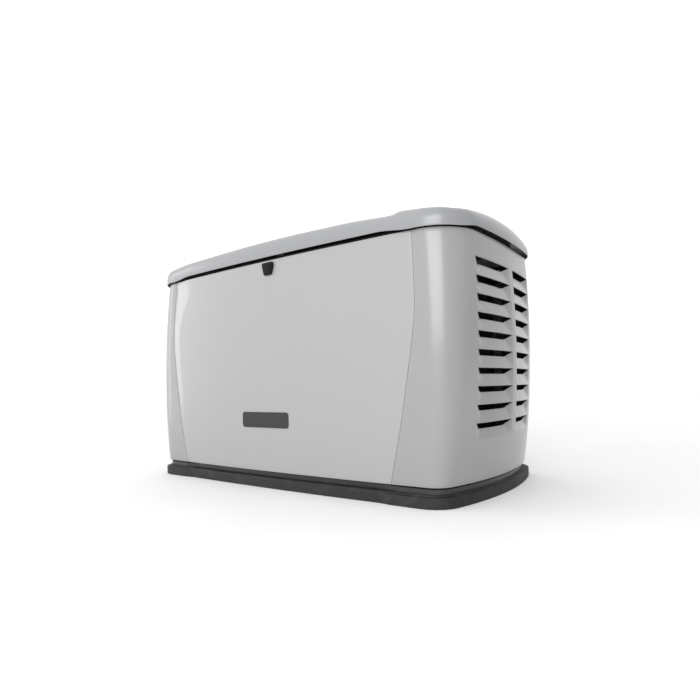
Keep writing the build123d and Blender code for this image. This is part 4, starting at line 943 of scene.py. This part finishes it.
pad_loops = []
for inset, corner_inset, z in (
    (1.6, 1.6, 0.0),
    (0.0, 0.0, 1.6),
    (0.0, 0.0, 24.5),
    (0.3, 0.8, 26.4),
    (0.5, 2.4, 27.0),
    (0.7, 9.0, 28.0),
    (1.4, 10.0, 30.2),
    (3.0, 11.0, 31.0),
):
    loop = corner_blocks(full_loop(PAD_PLAN, inset), full_loop(PAD_CORNER_PLAN, corner_inset))
    pad_loops.append((loop, z))
capped_solid("composite_pad", pad_loops, ANCHORS, "base", MATERIALS["composite"], ["mounting_pad"])

ledge_loops = []
for inset, z, proud in (
    (19.0, 31.0, LEDGE_PROUD),
    (19.0, 43.5, LEDGE_PROUD),
    (19.6, 45.0, LEDGE_PROUD - 1.0),
    (21.0, 45.6, 0.0),
    (21.0, 49.0, 0.0),
    (30.0, 49.0, 0.0),
    (30.0, 35.0, 0.0),
):
    loop = corner_blocks(full_loop(PANEL_LOW, inset), full_loop(PANEL_LOW, inset - proud))
    ledge_loops.append((loop, z))
capped_solid("base_ledge", ledge_loops, ANCHORS, "base", MATERIALS["frame_black"], ["base_frame"])


# ---- floor, light and camera ----
floor_material = Nodes("floor")
floor_grain = floor_material.noise(3.0, 4.0)
floor_length = floor_material.node("ShaderNodeVectorMath", {0: floor_material.coords}, operation="LENGTH")
floor_shade_reach = floor_length.outputs["Value"]
# painted shade and light: the floor is coloured darker within 1.2 m of the middle, around the enclosure, and
# lighter from 4 m out, where it meets the white backdrop.
floor_material = floor_material.shade(
    floor_material.mix(
        floor_material.spread(floor_shade_reach, 0.0, 1.0, 1.2, 4.0),
        floor_material.ramp(floor_grain, [(0.3, grey(0.84)), (0.7, grey(0.86))]),
        floor_material.ramp(floor_grain, [(0.3, grey(0.955)), (0.7, grey(0.965))]),
    ),
    floor_material.spread(floor_grain, 0.7, 0.8),
    floor_material.bump(floor_material.noise(200.0, 3.0), 0.0001),
    0.0,
)
floor_mesh = bpy.data.meshes.new("floor")
FLOOR_HALF = 14
floor_corners = [(FLOOR_HALF * x, FLOOR_HALF * y, 0) for x, y in ((-1, -1), (1, -1), (1, 1), (-1, 1))]
floor_mesh.from_pydata(floor_corners, [], [(0, 1, 2, 3)])
floor_mesh.materials.append(floor_material)
floor = bpy.data.objects.new("floor", floor_mesh)
bpy.context.scene.collection.objects.link(floor)

# The light is weaker from +X. The backdrop itself is one plain white.
BACKDROP_STRENGTH = 1.2
world = bpy.data.worlds.new("studio")
bpy.context.scene.world = world
world.use_nodes = True
sky = world.node_tree.nodes["Background"]
facing = world.node_tree.nodes.new("ShaderNodeTexCoord")
split = world.node_tree.nodes.new("ShaderNodeSeparateXYZ")
level = world.node_tree.nodes.new("ShaderNodeMapRange")
level.interpolation_type = "SMOOTHSTEP"
for socket, value in (("From Min", 0.0), ("From Max", 0.75), ("To Min", 1.25), ("To Max", 0.42)):
    level.inputs[socket].default_value = value
world.node_tree.links.new(facing.outputs["Generated"], split.inputs["Vector"])
world.node_tree.links.new(split.outputs["X"], level.inputs["Value"])
seen = world.node_tree.nodes.new("ShaderNodeLightPath")
backdrop = world.node_tree.nodes.new("ShaderNodeMix")
backdrop.inputs["B"].default_value = BACKDROP_STRENGTH
world.node_tree.links.new(seen.outputs["Is Camera Ray"], backdrop.inputs["Factor"])
world.node_tree.links.new(level.outputs["Result"], backdrop.inputs["A"])
world.node_tree.links.new(backdrop.outputs["Result"], sky.inputs["Strength"])
sky.inputs["Color"].default_value = (1.0, 1.0, 1.0, 1.0)


def area_light(name, place, target, size, energy):
    data = bpy.data.lights.new(name, "AREA")
    data.shape = "RECTANGLE"
    data.size, data.size_y = size
    data.energy = energy
    obj = bpy.data.objects.new(name, data)
    obj.location = place
    obj.rotation_euler = (Vector(target) - Vector(place)).to_track_quat("-Z", "Y").to_euler()
    obj.visible_camera = False
    bpy.context.scene.collection.objects.link(obj)


area_light("key", (1.9, -3.4, 1.9), (0.0, -0.2, 0.35), (2.4, 2.0), 86.0)
area_light("strip", (-2.87, -1.33, 0.9), (-0.45, -0.3, 0.45), (0.3, 2.4), 11.0)

CAMERA_PLACE = (1.0916, -1.3915, 0.2959)
CAMERA_YAW = 0.638
CAMERA_PITCH = 0.001
CAMERA_ROLL = -0.023
forward = Vector((
    -math.sin(CAMERA_YAW) * math.cos(CAMERA_PITCH),
    math.cos(CAMERA_YAW) * math.cos(CAMERA_PITCH),
    math.sin(CAMERA_PITCH),
))
level_right = Vector((math.cos(CAMERA_YAW), math.sin(CAMERA_YAW), 0.0))
level_up = level_right.cross(forward)
right = level_right * math.cos(CAMERA_ROLL) + level_up * math.sin(CAMERA_ROLL)
up = level_up * math.cos(CAMERA_ROLL) - level_right * math.sin(CAMERA_ROLL)
camera_data = bpy.data.cameras.new("camera")
camera_data.sensor_width = 36.0
camera_data.lens = 26.63
camera_data.shift_y = 0.0499
camera = bpy.data.objects.new("camera", camera_data)
rotation = Matrix((right, up, -forward)).transposed()
camera.matrix_world = Matrix.Translation(CAMERA_PLACE) @ rotation.to_4x4()
bpy.context.scene.collection.objects.link(camera)
bpy.context.scene.camera = camera
bpy.context.scene.view_settings.view_transform = "Standard"

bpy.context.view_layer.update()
